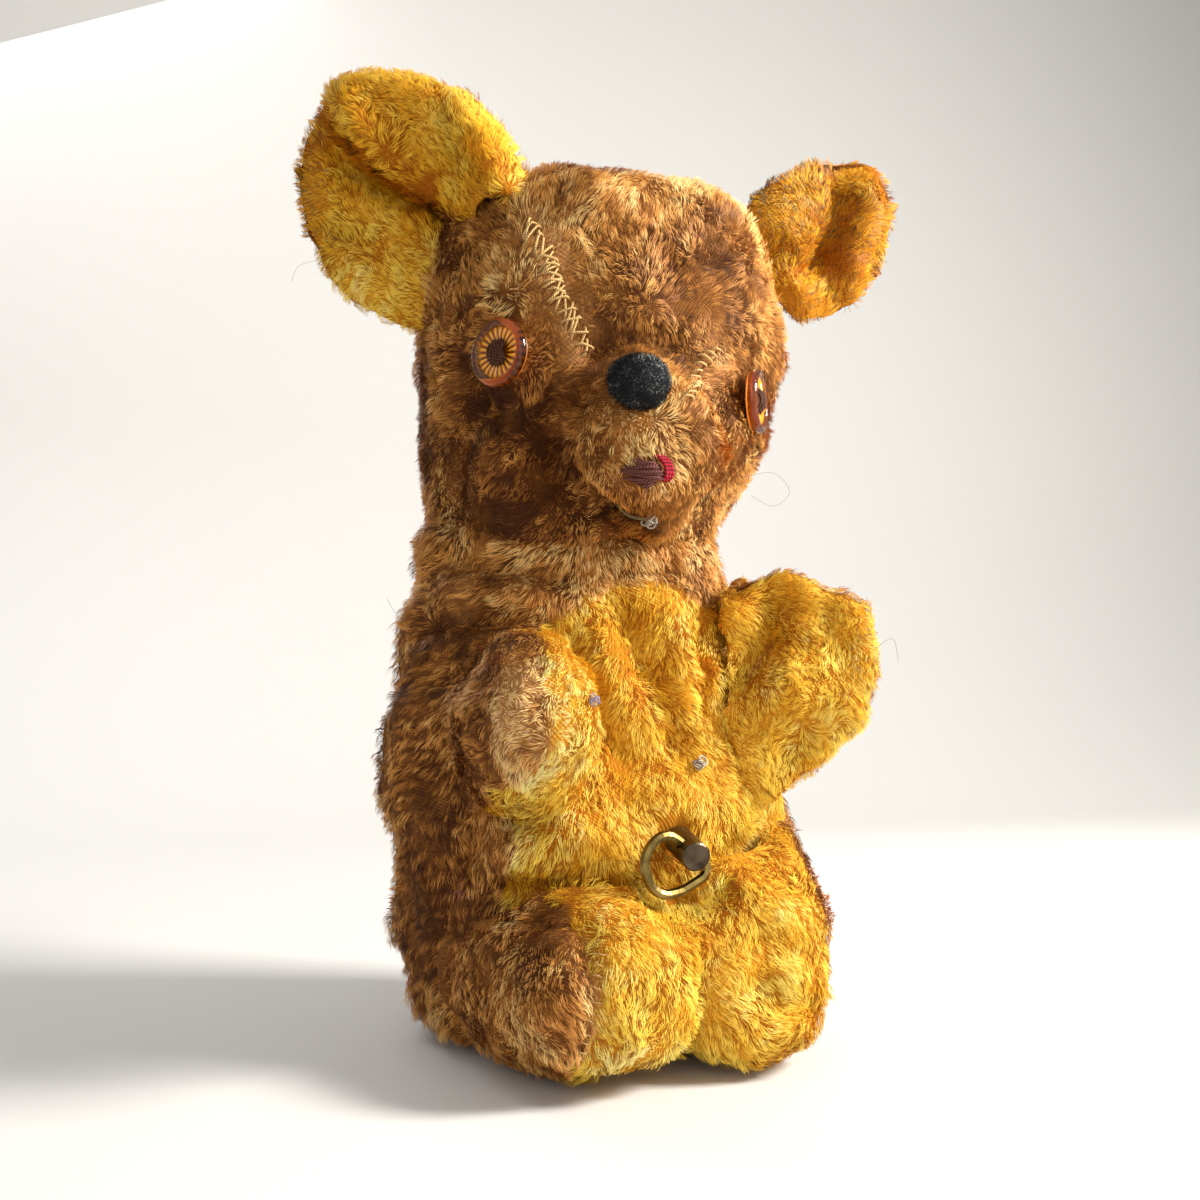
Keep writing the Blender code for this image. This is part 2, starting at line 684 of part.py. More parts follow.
def make_train():
    """The arbor and its great wheel, which drive the pinned cylinder and the governor."""
    add("winding_arbor", cylinder(ARBOR_R, REAR_PLATE[0], ARBOR_FRONT, 16), STEEL, 1.0, 0.35, MOVEMENT)
    up = math.pi / 2
    half_tooth = math.pi / GREAT_WHEEL_TEETH
    make_gear(
        "great_wheel", GREAT_WHEEL_TEETH, GEAR_MODULE, *GREAT_WHEEL, ARBOR_R + GAP, phase=up + half_tooth
    )
    above = (0, CYLINDER_OFFSET)
    make_gear(
        "cylinder_pinion", PINION_TEETH, GEAR_MODULE, *PINION, SHAFT_R + GAP, above, phase=-up, colour=STEEL
    )
    lead = WORM_MODULE / (2 * WORM_R)
    wheel_r = WORM_MODULE * WORM_WHEEL_TEETH / 2
    face = 0.8 * MM
    make_gear(
        "worm_wheel", WORM_WHEEL_TEETH, WORM_MODULE, WORM_AT - face / 2, WORM_AT + face / 2, SHAFT_R + GAP,
        above, phase=math.pi, twist=face * lead / wheel_r,
    )
    shaft = cylinder(SHAFT_R, REAR_PLATE[0], FRONT_PLATE[1], 12, above)
    add("cylinder_shaft", shaft, STEEL, 1.0, 0.35, MOVEMENT)
    low, high = CYLINDER
    drum = add("music_cylinder", cylinder(CYLINDER_R, low, high, 24, above), BRASS, 1.0, 0.35, MOVEMENT)
    boolean(drum, cylinder(SHAFT_R + GAP, low - MM, high + MM, 12, above))
    pins = bmesh.new()
    tracks = 18
    for track in range(tracks):
        height = low + (high - low) * (track + 0.5) / tracks
        turn = (track * 137.5) % 360
        point = around(turn, CYLINDER_R + 0.1 * MM)
        place = Matrix.Translation((above[0] + point[0], above[1] + point[1], height))
        place = place @ Matrix.Rotation(math.radians(turn), 4, "Z")
        bmesh.ops.create_cube(pins, size=1, matrix=place @ Matrix.Diagonal((0.6 * MM, 0.2 * MM, 0.2 * MM, 1)))
    boolean(drum, mesh_from(pins), "UNION")
    make_worm()


def make_comb():
    """The steel comb, on its block, and the two screws that hold it."""
    low, high = CYLINDER[0] + 0.3 * MM, CYLINDER[1] - 0.3 * MM
    top = CYLINDER_OFFSET - GAP
    block = box((10.5 * MM, 11.5 * MM, REAR_PLATE[1] + GAP), (15 * MM, top - 0.7 * MM, high))
    block = add("comb_block", block, BRASS, 1.0, 0.4, MOVEMENT)
    comb = box((CYLINDER_R + 0.8 * MM, top - 0.4 * MM, low), (15 * MM, top + 0.4 * MM, high))
    comb = add("comb", comb, STEEL, 1.0, 0.25, MOVEMENT)
    teeth = 18
    pitch = (high - low) / teeth
    slits = bmesh.new()
    for gap in range(1, teeth):
        centre = Vector(((CYLINDER_R + 10.1 * MM) / 2 - 0.1 * MM, top, low + gap * pitch))
        size = Vector((10.0 * MM - CYLINDER_R, 2 * MM, 0.16 * MM))
        bmesh.ops.create_cube(slits, size=1, matrix=Matrix.Translation(centre) @ Matrix.Diagonal((*size, 1)))
    boolean(comb, mesh_from(slits))
    for number, height in enumerate((low + 2.5 * MM, high - 2.5 * MM), 1):
        upward = Matrix.Translation((12.8 * MM, 0, height)) @ Matrix.Rotation(-math.pi / 2, 4, "X")
        hole = cylinder(SCREW_R + GAP, top - 3.2 * MM, top + 2 * MM, 12)
        hole.transform(upward)
        boolean(comb, hole.copy())
        boolean(block, hole)
        shank = cylinder(SCREW_R, top - 2.9 * MM, top + 1.0 * MM, 12)
        cap = cylinder(1.6 * MM, top + 0.4 * MM + GAP, top + 1.5 * MM, 16)
        for part_of_screw in (shank, cap):
            part_of_screw.transform(upward)
        screw = add(f"comb_screw_{number}", shank, STEEL, 1.0, 0.35, MOVEMENT)
        boolean(screw, cap, "UNION")


def make_governor_bracket():
    """A bent strip on the front plate that carries both ends of the governor's shaft."""
    top = FRONT_PLATE[0] - GAP
    inner, outer = CYLINDER_OFFSET - 7.3 * MM, CYLINDER_OFFSET + 2.8 * MM
    left, right = -WORM_OFFSET - 1.4 * MM, -WORM_OFFSET + 1.0 * MM
    strip = 0.8 * MM
    bracket = box((left - 1.5 * MM, inner - strip, top - strip), (left + strip, outer + strip, top))
    bracket = add("governor_bracket", bracket, BRASS, 1.0, 0.4, MOVEMENT)
    for low in (inner - strip, outer):
        arm = box((left, low, WORM_AT - 1.4 * MM), (right, low + strip, top))
        boolean(bracket, arm, "UNION")
    shaft = cylinder(0.5 * MM + 0.2 * MM, inner - 3 * MM, outer + 3 * MM, 12)
    shaft.transform(Matrix.Translation((-WORM_OFFSET, 0, WORM_AT)) @ Matrix.Rotation(-math.pi / 2, 4, "X"))
    boolean(bracket, shaft)


make_case()
make_plates()
make_barrel_and_spring()
make_train()
make_comb()
make_governor_bracket()
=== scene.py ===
# %% [markdown]
# # A threadbare musical teddy bear
#
# The bear is an old stuffed toy: a brown plush back and head, a golden plush front, round golden ears, coat
# buttons sewn on for eyes, a felt nose, a thread mouth, and the key of a wind-up movement in its belly. It
# has been hugged flat, mended and left standing in the light, and that history is most of what we see.
#
# A maker of digital toys has three ways to make plush. A texture alone is cheap, but its outline is smooth
# and plush has none. A hair system makes good pictures, but it is not a mesh, so it is lost when the model is
# passed on. Here every hair is a real sliver of mesh, laid by rules: where it grows, which way it was
# brushed, how far it was worn down and how it clumps with its neighbours.

# %% Tools and the frame
import json
import math

import bmesh
import bpy
import numpy as np
from mathutils import Matrix, Vector
from mathutils.bvhtree import BVHTree
from mathutils.kdtree import KDTree


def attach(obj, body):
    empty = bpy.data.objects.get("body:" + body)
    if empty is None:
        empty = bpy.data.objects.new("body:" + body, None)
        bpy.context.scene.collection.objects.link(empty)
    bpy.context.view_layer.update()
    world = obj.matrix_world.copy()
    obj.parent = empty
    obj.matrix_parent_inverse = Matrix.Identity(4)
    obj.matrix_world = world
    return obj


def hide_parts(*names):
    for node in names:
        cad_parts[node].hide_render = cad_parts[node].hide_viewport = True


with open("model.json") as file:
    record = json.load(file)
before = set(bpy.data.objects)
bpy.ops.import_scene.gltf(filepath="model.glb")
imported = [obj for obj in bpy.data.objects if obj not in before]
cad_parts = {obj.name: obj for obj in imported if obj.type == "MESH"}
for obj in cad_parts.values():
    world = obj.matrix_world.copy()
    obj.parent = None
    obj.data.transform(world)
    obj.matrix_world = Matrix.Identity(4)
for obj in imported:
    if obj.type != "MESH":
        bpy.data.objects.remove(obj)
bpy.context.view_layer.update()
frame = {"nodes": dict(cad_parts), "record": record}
MM = 0.001

# %% [markdown]
# ## Camera, floor and light
#
# The bear sits on a table and is looked at from a little to its right, at the height of its belly, through a
# wide lens close by, which makes the legs and the snout large. The floor is one pale sheet that curves up
# behind the bear, as in a small studio. A broad lamp high on the bear's left gives the warm side of the
# plush its shine, and a weaker one on the other side opens the shadows.

# %% Camera
LENS = 39.9  # mm, on a sensor 36 mm wide
CAMERA_TURN = math.radians(18)
CAMERA_AWAY = 0.395
CAMERA_HIGH = 0.095
LOOK_UP = math.radians(4.3)


def new_object(name, data):
    """An object in the scene that shows a mesh, a lamp or a camera."""
    made = bpy.data.objects.new(name, data)
    bpy.context.scene.collection.objects.link(made)
    return made


camera = new_object("camera", bpy.data.cameras.new("camera"))
camera.data.lens = LENS
camera.data.clip_start = 0.01
camera.location = (
    -CAMERA_AWAY * math.sin(CAMERA_TURN), -CAMERA_AWAY * math.cos(CAMERA_TURN), CAMERA_HIGH,
)
camera.rotation_euler = (math.radians(90) + LOOK_UP, 0, -CAMERA_TURN)
bpy.context.scene.camera = camera
bpy.context.scene.view_settings.view_transform = "Standard"
print("camera at", [round(c, 3) for c in camera.location])

# %% Lamps
def area_lamp(name, place, aim, size, watts, colour=(1, 1, 1)):
    """A square lamp that faces a point."""
    light = bpy.data.lights.new(name, "AREA")
    light.size = size
    light.energy = watts
    light.color = colour
    lamp = new_object(name, light)
    lamp.location = place
    lamp.rotation_euler = (Vector(aim) - Vector(place)).to_track_quat("-Z", "Y").to_euler()
    lamp.visible_camera = False


MIDDLE = (0, 0, 0.13)
area_lamp("key_lamp", (0.72, -0.42, 0.62), MIDDLE, 0.3, 19, (1, 0.97, 0.92))
area_lamp("fill_lamp", (-0.3, -1.0, 0.3), MIDDLE, 0.8, 2.4, (1, 0.99, 0.97))
area_lamp("back_lamp", (-0.3, 0.8, 0.8), MIDDLE, 0.6, 5.0)

# %% Picking and changing objects
def empty_selection():
    """Nothing is selected, and no object is in edit mode."""
    if bpy.context.object is not None and bpy.context.object.mode != "OBJECT":
        bpy.ops.object.mode_set(mode="OBJECT")
    bpy.ops.object.select_all(action="DESELECT")


def pick(piece):
    """Selects one object alone, for the tools that work on what is selected."""
    empty_selection()
    piece.select_set(True)
    bpy.context.view_layer.objects.active = piece


def modify(piece, kind, **settings):
    """Adds a modifier to the picked object and applies it."""
    modifier = piece.modifiers.new("change", kind)
    for setting, value in settings.items():
        setattr(modifier, setting, value)
    bpy.ops.object.modifier_apply(modifier="change")

# %% Shader nodes
def node_in(tree, kind, *inputs, **named):
    """A shader node. Its inputs, in order or by name, are numbers, colours or outputs of other nodes."""
    made = tree.nodes.new("ShaderNode" + kind)
    pairs = [(made.inputs[name.replace("_", " ")], value) for name, value in named.items()]
    for socket, value in [*zip(made.inputs, inputs), *pairs]:
        if isinstance(value, bpy.types.NodeSocket):
            tree.links.new(value, socket)
        else:
            socket.default_value = value
    return made


def principled(name, colour, roughness=0.6, **sockets):
    """A Principled material, its node tree and its shader's inputs."""
    material = bpy.data.materials.new(name)
    material.use_nodes = True
    inputs = material.node_tree.nodes["Principled BSDF"].inputs
    inputs["Base Color"].default_value = (*colour, 1)
    inputs["Roughness"].default_value = roughness
    for socket, value in sockets.items():
        inputs[socket.replace("_", " ")].default_value = value
    return material, material.node_tree, inputs

# %% Floor and backdrop
FLOOR_HALF = 6.0
BACKDROP_AT = 0.9
BACKDROP_HIGH = 5.0
BEND_R = 0.35

empty_selection()
bpy.ops.mesh.primitive_plane_add(size=2 * FLOOR_HALF, location=(0, BACKDROP_AT - FLOOR_HALF, 0))
floor = bpy.context.object
floor.name = "floor"
bpy.ops.object.mode_set(mode="EDIT")
bpy.ops.mesh.select_all(action="DESELECT")
bpy.ops.object.mode_set(mode="OBJECT")
for edge in floor.data.edges:
    ends = [floor.data.vertices[index].co.y for index in edge.vertices]
    edge.select = min(ends) > FLOOR_HALF - 0.01
bpy.ops.object.mode_set(mode="EDIT")
bpy.ops.mesh.extrude_region_move(TRANSFORM_OT_translate={"value": (0, 0, BACKDROP_HIGH)})
bpy.ops.object.mode_set(mode="OBJECT")
modify(floor, "BEVEL", width=BEND_R, segments=12)
bpy.ops.object.shade_smooth()
bpy.ops.object.transform_apply(location=True)
floor.data.materials.append(principled("floor_paper", (0.72, 0.71, 0.69), 0.9)[0])
print("floor with", len(floor.data.polygons), "faces")

# %% Sky
# The sky lights the bear evenly. To the camera, and in metal and glass, it shows as plain white.
sky = bpy.data.worlds.new("sky")
bpy.context.scene.world = sky
sky.use_nodes = True
daylight = sky.node_tree.nodes["Background"]
daylight.inputs["Color"].default_value = (1, 0.98, 0.95, 1)
daylight.inputs["Strength"].default_value = 0.36
white = node_in(sky.node_tree, "Background")
rays = node_in(sky.node_tree, "LightPath").outputs
seen = rays["Is Camera Ray"]
for ray in ("Is Glossy Ray", "Is Transmission Ray"):
    either = node_in(sky.node_tree, "Math", seen, rays[ray])
    either.operation = "MAXIMUM"
    seen = either.outputs[0]
choice = node_in(sky.node_tree, "MixShader", seen, daylight.outputs[0], white.outputs[0])
sky.node_tree.links.new(choice.outputs[0], sky.node_tree.nodes["World Output"].inputs["Surface"])
print("sky with", len(sky.node_tree.nodes), "nodes")

# %% [markdown]
# ## Arrays and noise
#
# A plush cover is shaped by rules that act on thousands of points at once, so the points are kept as numpy
# arrays. The noise is a sum of sine waves in many directions: it is smooth, needs no grid, and gives the
# same values on every run, because its directions come from a seeded generator.

# %% Arrays
def points_of(mesh):
    """A mesh's points as an array, in metres."""
    points = np.empty(len(mesh.vertices) * 3, np.float32)
    mesh.vertices.foreach_get("co", points)
    return points.reshape(-1, 3).astype(float)


def set_points(mesh, points):
    """Moves a mesh's points."""
    mesh.vertices.foreach_set("co", np.ascontiguousarray(points, np.float32).ravel())
    mesh.update()


def normals_of(mesh):
    """A mesh's smooth normals as an array."""
    normals = np.empty(len(mesh.vertices) * 3, np.float32)
    mesh.vertex_normals.foreach_get("vector", normals)
    return normals.reshape(-1, 3).astype(float)


def unit(vectors):
    """Vectors of length one."""
    return vectors / np.maximum(np.linalg.norm(vectors, axis=-1, keepdims=True), 1e-12)

# %% Noise and distances
def waves(points, size, seed, count=14):
    """Smooth noise from -1 to 1 whose features are about size across."""
    random = np.random.default_rng(seed)
    directions = unit(random.normal(size=(count, 3)))
    lengths = size * random.uniform(1.3, 3.2, count)
    phases = random.uniform(0, 2 * math.pi, count)
    turns = points @ (directions / lengths[:, None]).T * 2 * math.pi + phases
    return np.clip(np.sin(turns).sum(axis=1) * math.sqrt(1.6 / count), -1, 1)


def smooth_step(low, high, value):
    """0 below low, 1 above high, and a smooth rise between them."""
    share = np.clip((value - low) / (high - low), 0, 1)
    return share * share * (3 - 2 * share)


def from_path(points, path):
    """How far each point is from a line through a few places in mm. One place is a line of no length."""
    path = np.asarray(path, float) * MM
    nearest = np.linalg.norm(points - path[0], axis=1)
    for start, end in zip(path, path[1:]):
        step = end - start
        share = np.clip(((points - start) @ step) / (step @ step), 0, 1)
        nearest = np.minimum(nearest, np.linalg.norm(points - start - share[:, None] * step, axis=1))
    return nearest


def near(points, path, reach):
    """1 on a line through places in mm, and fading away over reach in mm."""
    return np.exp(-((from_path(points, path) / (reach * MM)) ** 2))


trial = np.random.default_rng(1).uniform(-0.1, 0.1, (1000, 3))
print("noise spread", round(float(waves(trial, 0.01, 1).std()), 2))

# %% [markdown]
# ## The stuffed covers
#
# Each stuffed piece starts as its plain solid. The plush stands about two millimetres proud of its backing,
# so the backing is drawn in by that much first. A voxel remesh gives it even small faces, and a short
# cloth simulation with air inside puffs it between its seams, as stuffing does. The head is sewn on over the
# neck, so both of their covers reach past the seam, where they meet out of sight.

# %% Copying and remeshing a solid
PILE = 2.0 * MM  # how far the plush stands out of its backing
NECK = 140 * MM
NECK_OVERLAP = 5 * MM


def backing_from(node, name, voxel, shrink=PILE):
    """A closed, even skin from a stuffed solid, drawn in by the thickness of the pile."""
    skin = new_object(name, frame["nodes"][node].data.copy())
    skin.data.name = name
    skin.data.materials.clear()
    work = bmesh.new()
    work.from_mesh(skin.data)
    bmesh.ops.remove_doubles(work, verts=work.verts, dist=0.02 * MM)
    bmesh.ops.recalc_face_normals(work, faces=work.faces)
    for vertex in work.verts:
        if node == "torso" and vertex.co.z > NECK - MM:
            vertex.co.z += NECK_OVERLAP
        if node == "head" and vertex.co.z < NECK + MM:
            vertex.co.z -= NECK_OVERLAP
    work.to_mesh(skin.data)
    work.free()
    pick(skin)
    skin.data.remesh_voxel_size = voxel
    bpy.ops.object.voxel_remesh()
    set_points(skin.data, points_of(skin.data) - normals_of(skin.data) * shrink)
    modify(skin, "SMOOTH", factor=0.5, iterations=3)
    return skin

# %% Puffing and refining
PUFF_CAP = 1.2 * MM


def puff(skin, cap=PUFF_CAP, pressure=4.0, frames=16):
    """Blows a cover up a little, and keeps each point within cap of where it was."""
    before = points_of(skin.data)
    cloth = skin.modifiers.new("stuffing", "CLOTH")
    cloth.settings.quality = 5
    cloth.settings.mass = 0.25
    cloth.settings.tension_stiffness = 12
    cloth.settings.compression_stiffness = 6
    cloth.settings.bending_stiffness = 0.4
    cloth.settings.use_pressure = True
    cloth.settings.uniform_pressure_force = pressure
    cloth.settings.effector_weights.gravity = 0
    cloth.point_cache.frame_start = 1
    cloth.point_cache.frame_end = frames
    for step in range(1, frames + 1):
        bpy.context.scene.frame_set(step)
    evaluated = skin.evaluated_get(bpy.context.evaluated_depsgraph_get())
    moved = points_of(evaluated.data) - before
    skin.modifiers.clear()
    bpy.context.scene.frame_set(1)
    far = np.linalg.norm(moved, axis=1, keepdims=True)
    set_points(skin.data, before + moved * np.minimum(1, cap / np.maximum(far, 1e-9)))


def refine(skin):
    """Halves a cover's faces and rounds them."""
    pick(skin)
    modify(skin, "SUBSURF", levels=1, render_levels=1)
    bpy.ops.object.shade_smooth()


VOXELS = {"torso": 4.5 * MM, "head": 4.5 * MM}
SMALL_VOXEL = 3.4 * MM
COVERS = ("torso", "head", "ear_right", "ear_left", "arm_right", "arm_left", "leg_right", "leg_left")
skins = {}
for node in COVERS:
    skins[node] = backing_from(node, node + "_cover", VOXELS.get(node, SMALL_VOXEL))
    puff(skins[node])
    refine(skins[node])
    print(node, len(skins[node].data.polygons), "faces")

# %% [markdown]
# ## Folds, rolls and hollows
#
# Years of hugging have pressed folds into the stuffing. A remesh would lose them, so they are moved in
# afterwards: each is a line through a few places, a width, and how far the cover swells out (or sinks, where
# the height is negative) along its own normals. An ear is one flap with two faces, so its folds give a
# direction instead, which moves both faces together. Noise adds the small lumps of old wood-wool stuffing.

# %% Lines that the folds follow
EAR_FOLD = [(-79, 8, 262), (-73, 5, 251), (-65, 2, 246), (-56, -2, 242), (-48, -5, 237)]
EAR_ROLL = [(-74, 4, 268), (-60, -1, 269), (-46, -7, 264), (-39, -11, 251)]
EAR_RIM = [(-84, 11, 268), (-90, 12, 250), (-88, 13, 228)]
POCKET = [(85, 5, 260), (82, 5, 250), (77, 5, 240), (71, 4, 233)]
CHEEK_HOLLOW = [(-27, -45, 170), (-26, -43, 163), (-24, -41, 154), (-18, -42, 146), (-8, -50, 140)]
MUZZLE_EDGE = [(-23, -57, 166), (-22, -54, 154), (-18, -55, 146)]
EYE_HOLLOW = [(-48, -27, 184), (-45, -32, 175), (-37, -39, 172)]
BRIDGE = [(-17, -49, 188), (-5, -51, 192), (6, -50, 191)]
MENDED_SEAM = [(-33, -40, 220), (-29, -44, 211), (-26, -46, 200), (-18, -48, 187)]
NECK_SEAM = [(-51, -14, 134), (-36, -31, 131), (-12, -38, 130), (16, -34, 131)]
NECK_ROLL = [(-58, -6, 114), (-44, -27, 117), (-27, -36, 118)]
FURROW = [(-5, -40, 119), (0, -43, 104), (4, -46, 92), (7, -47, 83)]
SIDE_FURROW = [(-21, -40, 113), (-15, -46, 94), (-9, -48, 80)]
ARMHOLE = [(20, -33, 124), (16, -39, 108), (14, -43, 94)]
BELLY_RIDGE = [(-38, -41, 57), (-24, -47, 59), (-6, -51, 58), (16, -48, 62), (30, -42, 68)]
LAP_CREASE = [(-38, -41, 48), (-24, -45, 47), (0, -50, 45), (14, -48, 48), (24, -45, 54)]
FOOT_SEAM = [(-27, -70, 45), (-27, -77, 37), (-27, -79, 22), (-27, -76, 9)]

# %% What the folds do
EAR_RIGHT_OUT = (-0.4, -0.92, 0)
EAR_LEFT_OUT = (0.1, -0.99, 0)
FORWARD = (0, -1, 0)
FOLDS = {  # a line in mm, how wide, how high, and a direction where it isn't along the normals
    "torso": [
        (FURROW, 3.2, -4.5), (SIDE_FURROW, 3.4, -4.0), (ARMHOLE, 2.8, -5.0),
        ([(-12, -42, 112), (-6, -47, 90)], 4, 3.2), ([(8, -38, 118), (11, -44, 96)], 4, 3.2),
        (BELLY_RIDGE, 7, 4.5), (LAP_CREASE, 3.6, -5.0), (NECK_SEAM, 3.2, -5.0), (NECK_ROLL, 3.4, -5.0),
        ([(-48, -20, 125), (-30, -33, 124)], 5, 4.0), ([(-50, -16, 108), (-40, -32, 112)], 5, 3.0),
        ([(-61, 2, 108), (-60, -4, 60)], 6, -3.0),
        ([(-56, -22, 108), (-57, -24, 80), (-50, -32, 56)], 5, -5.0),
        ([(-58, -12, 92), (-60, -10, 62)], 7, 3.0), ([(-20, -48, 70), (10, -50, 74)], 9, 2.5),
        ([(5, -48, 3), (5, -51, 38)], 12, 26.0, FORWARD), ([(34, -36, 84), (38, -32, 74)], 9, 5.0),
    ],
    "head": [
        ([(-38, -37, 183)], 9, 4.0, (-0.8, -0.6, 0)), (EYE_HOLLOW, 6, -5.0), ([(33, -36, 179)], 11, -1.8),
        ([(-38, -39, 206)], 11, 4.5), (MENDED_SEAM, 3, -2.4), (BRIDGE, 3.4, -5.0),
        ([(-8, -50, 203)], 10, 3.6), ([(10, -48, 205), (20, -44, 214)], 7, -1.6),
        (CHEEK_HOLLOW, 6, -9.0), (MUZZLE_EDGE, 5, 4.5, (-0.7, -0.7, 0)), ([(-42, -31, 158)], 9, 5.5),
        ([(-14, -66, 161)], 7, 3.0), ([(5, -66, 159)], 8, 3.0),
        ([(-12, -64, 172)], 7, 2.5, (-0.1, -0.9, 0.4)),
        ([(-18, -60, 147), (-12, -63, 148)], 8, 6.5, (-0.1, -1, -0.1)),
        ([(-5, -65, 149)], 6, 2.5, (0, -1, -0.1)), ([(27, -39, 167)], 10, 4.5),
        ([(13, -54, 148), (24, -40, 151)], 4, -3.5), ([(17, -55, 161), (15, -55, 152)], 4.5, 3.5),
        ([(-6, -58, 139)], 6, 3.0), ([(42, -28, 171)], 10, 6.5, (1, -0.2, 0)),
        ([(50, -10, 204)], 14, 5.0, (1, 0, 0)), ([(30, -34, 240)], 9, 3.5), ([(-20, -44, 232)], 10, 2.6),
        ([(-46, -22, 240), (-33, -30, 243)], 9, -2.0), ([(-12, -62, 138), (6, -56, 140)], 4, -3.5),
        ([(-46, -26, 174), (-50, -20, 150)], 6, -3.0),
    ],
    "ear_right": [
        (EAR_ROLL, 10, 14.0, EAR_RIGHT_OUT), (EAR_FOLD, 5, -11.0, EAR_RIGHT_OUT),
        ([(-76, 5, 266), (-68, 3, 257), (-60, 0, 251), (-50, -4, 247)], 5.5, 11.0, (0.1, -0.7, -0.7)),
        (EAR_RIM, 8, 2.5, EAR_RIGHT_OUT), ([(-72, 4, 222)], 12, 3.0, EAR_RIGHT_OUT),
        ([(-49, -6, 262), (-50, -6, 250), (-48, -6, 241)], 2.6, -4.5), ([(-61, 0, 262)], 4, 3.0),
        ([(-86, 10, 236), (-76, 6, 233)], 4, -3.0, EAR_RIGHT_OUT),
        ([(-61, 2, 204)], 9, 8.0, (0.25, -0.1, -1)),
        ([(-48, -6, 238), (-54, -2, 222), (-58, 0, 210)], 8, 6.5, (0.9, -0.4, 0)),
        ([(-38, -11, 252), (-27, -14, 249)], 11, 14.0, (0.1, -0.8, -0.6)),
        ([(-44, -8, 243), (-28, -13, 245)], 11, 13.0, (0, -0.5, -1)),
        ([(-62, -1, 277), (-46, -6, 274)], 10, -3.0, (0, 0, 1)),
    ],
    "ear_left": [
        (POCKET, 4.5, -9.0, EAR_LEFT_OUT), ([(66, 3, 252), (66, 3, 240), (69, 4, 228)], 9, 6.5, EAR_LEFT_OUT),
        ([(77, 4, 258), (74, 4, 246), (70, 4, 238)], 4, 4.0, (0.7, -0.7, 0)),
        ([(92, 6, 262), (94, 6, 248), (88, 6, 236)], 6, 5.0, EAR_LEFT_OUT),
        ([(80, 5, 236)], 6, -3.0, EAR_LEFT_OUT), ([(97, 6, 268)], 9, 6.0, (0.6, 0, 0.8)),
        ([(57, 3, 256), (59, 3, 244)], 11, 9.0, (-1, -0.3, 0.1)), ([(103, 7, 256)], 9, 4.0, (1, 0, 0)),
    ],
    "arm_right": [
        ([(-39, -74, 107)], 4, -2.0), ([(-46, -74, 95)], 8, 3.0, (-0.3, -1, 0)), ([(-45, -60, 74)], 4, -2.0),
        ([(-30, -72, 88)], 6, 2.0),
    ],
    "arm_left": [
        ([(36, -42, 124), (28, -42, 102)], 4, -3.5), ([(50, -48, 108), (46, -44, 88)], 5, -3.0),
        ([(58, -50, 118)], 7, 3.0), ([(38, -50, 100)], 6, 3.0),
        ([(26, -44, 92), (30, -42, 80)], 9, 8.0, (-1, -0.2, -0.3)),
        ([(36, -40, 80), (46, -42, 86)], 9, 8.0, (-0.2, -0.1, -1)),
        ([(30, -40, 128), (44, -40, 134)], 4, 2.5),
    ],
    "leg_right": [
        (FOOT_SEAM, 2.6, -3.5), ([(-38, -74, 24)], 9, 3.0), ([(-16, -74, 30)], 7, 3.0),
        ([(-36, -70, 44)], 5, 2.5), ([(-8, -62, 42)], 10, 7.5, (0.6, -0.2, 0.7)),
        ([(-3, -62, 6), (-3, -62, 40)], 12, 10.5, (1, -0.1, 0)), ([(-48, -62, 30), (-46, -66, 14)], 5, -3.0),
    ],
    "leg_left": [
        ([(28, -62, 40)], 9, 2.5), ([(22, -66, 24), (36, -64, 16)], 4, -4.0), ([(30, -68, 8)], 8, 2.5),
        ([(10, -58, 6), (11, -56, 40)], 13, 12.0, (-1, -0.5, 0)), ([(40, -40, 56)], 11, 7.0, (0.3, 0, 1)),
        ([(20, -52, 52)], 9, 4.0, (-0.6, -0.2, 0.7)), ([(13, -60, 46)], 10, 6.0, (-0.6, -0.5, 0.5)),
    ],
}

# %% Room for the key's loop
# The key turns in the lap, and its loop swings. The covers are pressed back out of that room.
KEY_AT, KEY_OUT = (3.8, -52.9, 59.3), unit(np.array((0, -0.9703, -0.2419)))
LOOP_HANGS = unit(np.array((-0.643, 0.185, -0.743)))
LOOP_REACH = 15.4  # in mm: how far the key's loop reaches from the key's axis, with a little air
LOOP_FLOOR, LOOP_DIP = 5.5, 5.0  # in mm: how high over the belly the loop turns, and how much lower it swings
LOOP_WALL = 6  # how steeply the room widens past the loop's reach
LAP = 26  # in mm: how far round the key the stretched faces are evened


def over_floor(points):
    """How far in mm each point stands up into the room that the key's loop turns and swings in."""
    apart = points / MM - np.array(KEY_AT)
    height = apart @ KEY_OUT
    side = apart - height[:, None] * KEY_OUT
    reach = np.linalg.norm(side, axis=1)
    dip = LOOP_DIP * smooth_step(0.45, 0.8, side @ LOOP_HANGS / np.maximum(reach, 1))
    return np.maximum(height - LOOP_FLOOR + dip - LOOP_WALL * np.maximum(reach - LOOP_REACH, 0), 0)


def leave_room(mesh, rounds=3):
    """Presses a cover back out of the loop's room, and evens the faces that this stretches."""
    for left in reversed(range(rounds)):
        points = points_of(mesh)
        set_points(mesh, points - KEY_OUT * (over_floor(points) * MM)[:, None])
        if left:
            work = bmesh.new()
            work.from_mesh(mesh)
            from_key = np.linalg.norm(points / MM - np.array(KEY_AT), axis=1)
            close = [vertex for vertex, far in zip(work.verts, from_key) if far < LAP]
            bmesh.ops.smooth_vert(
                work, verts=close, factor=0.5, use_axis_x=True, use_axis_y=True, use_axis_z=True)
            work.to_mesh(mesh)
            work.free()

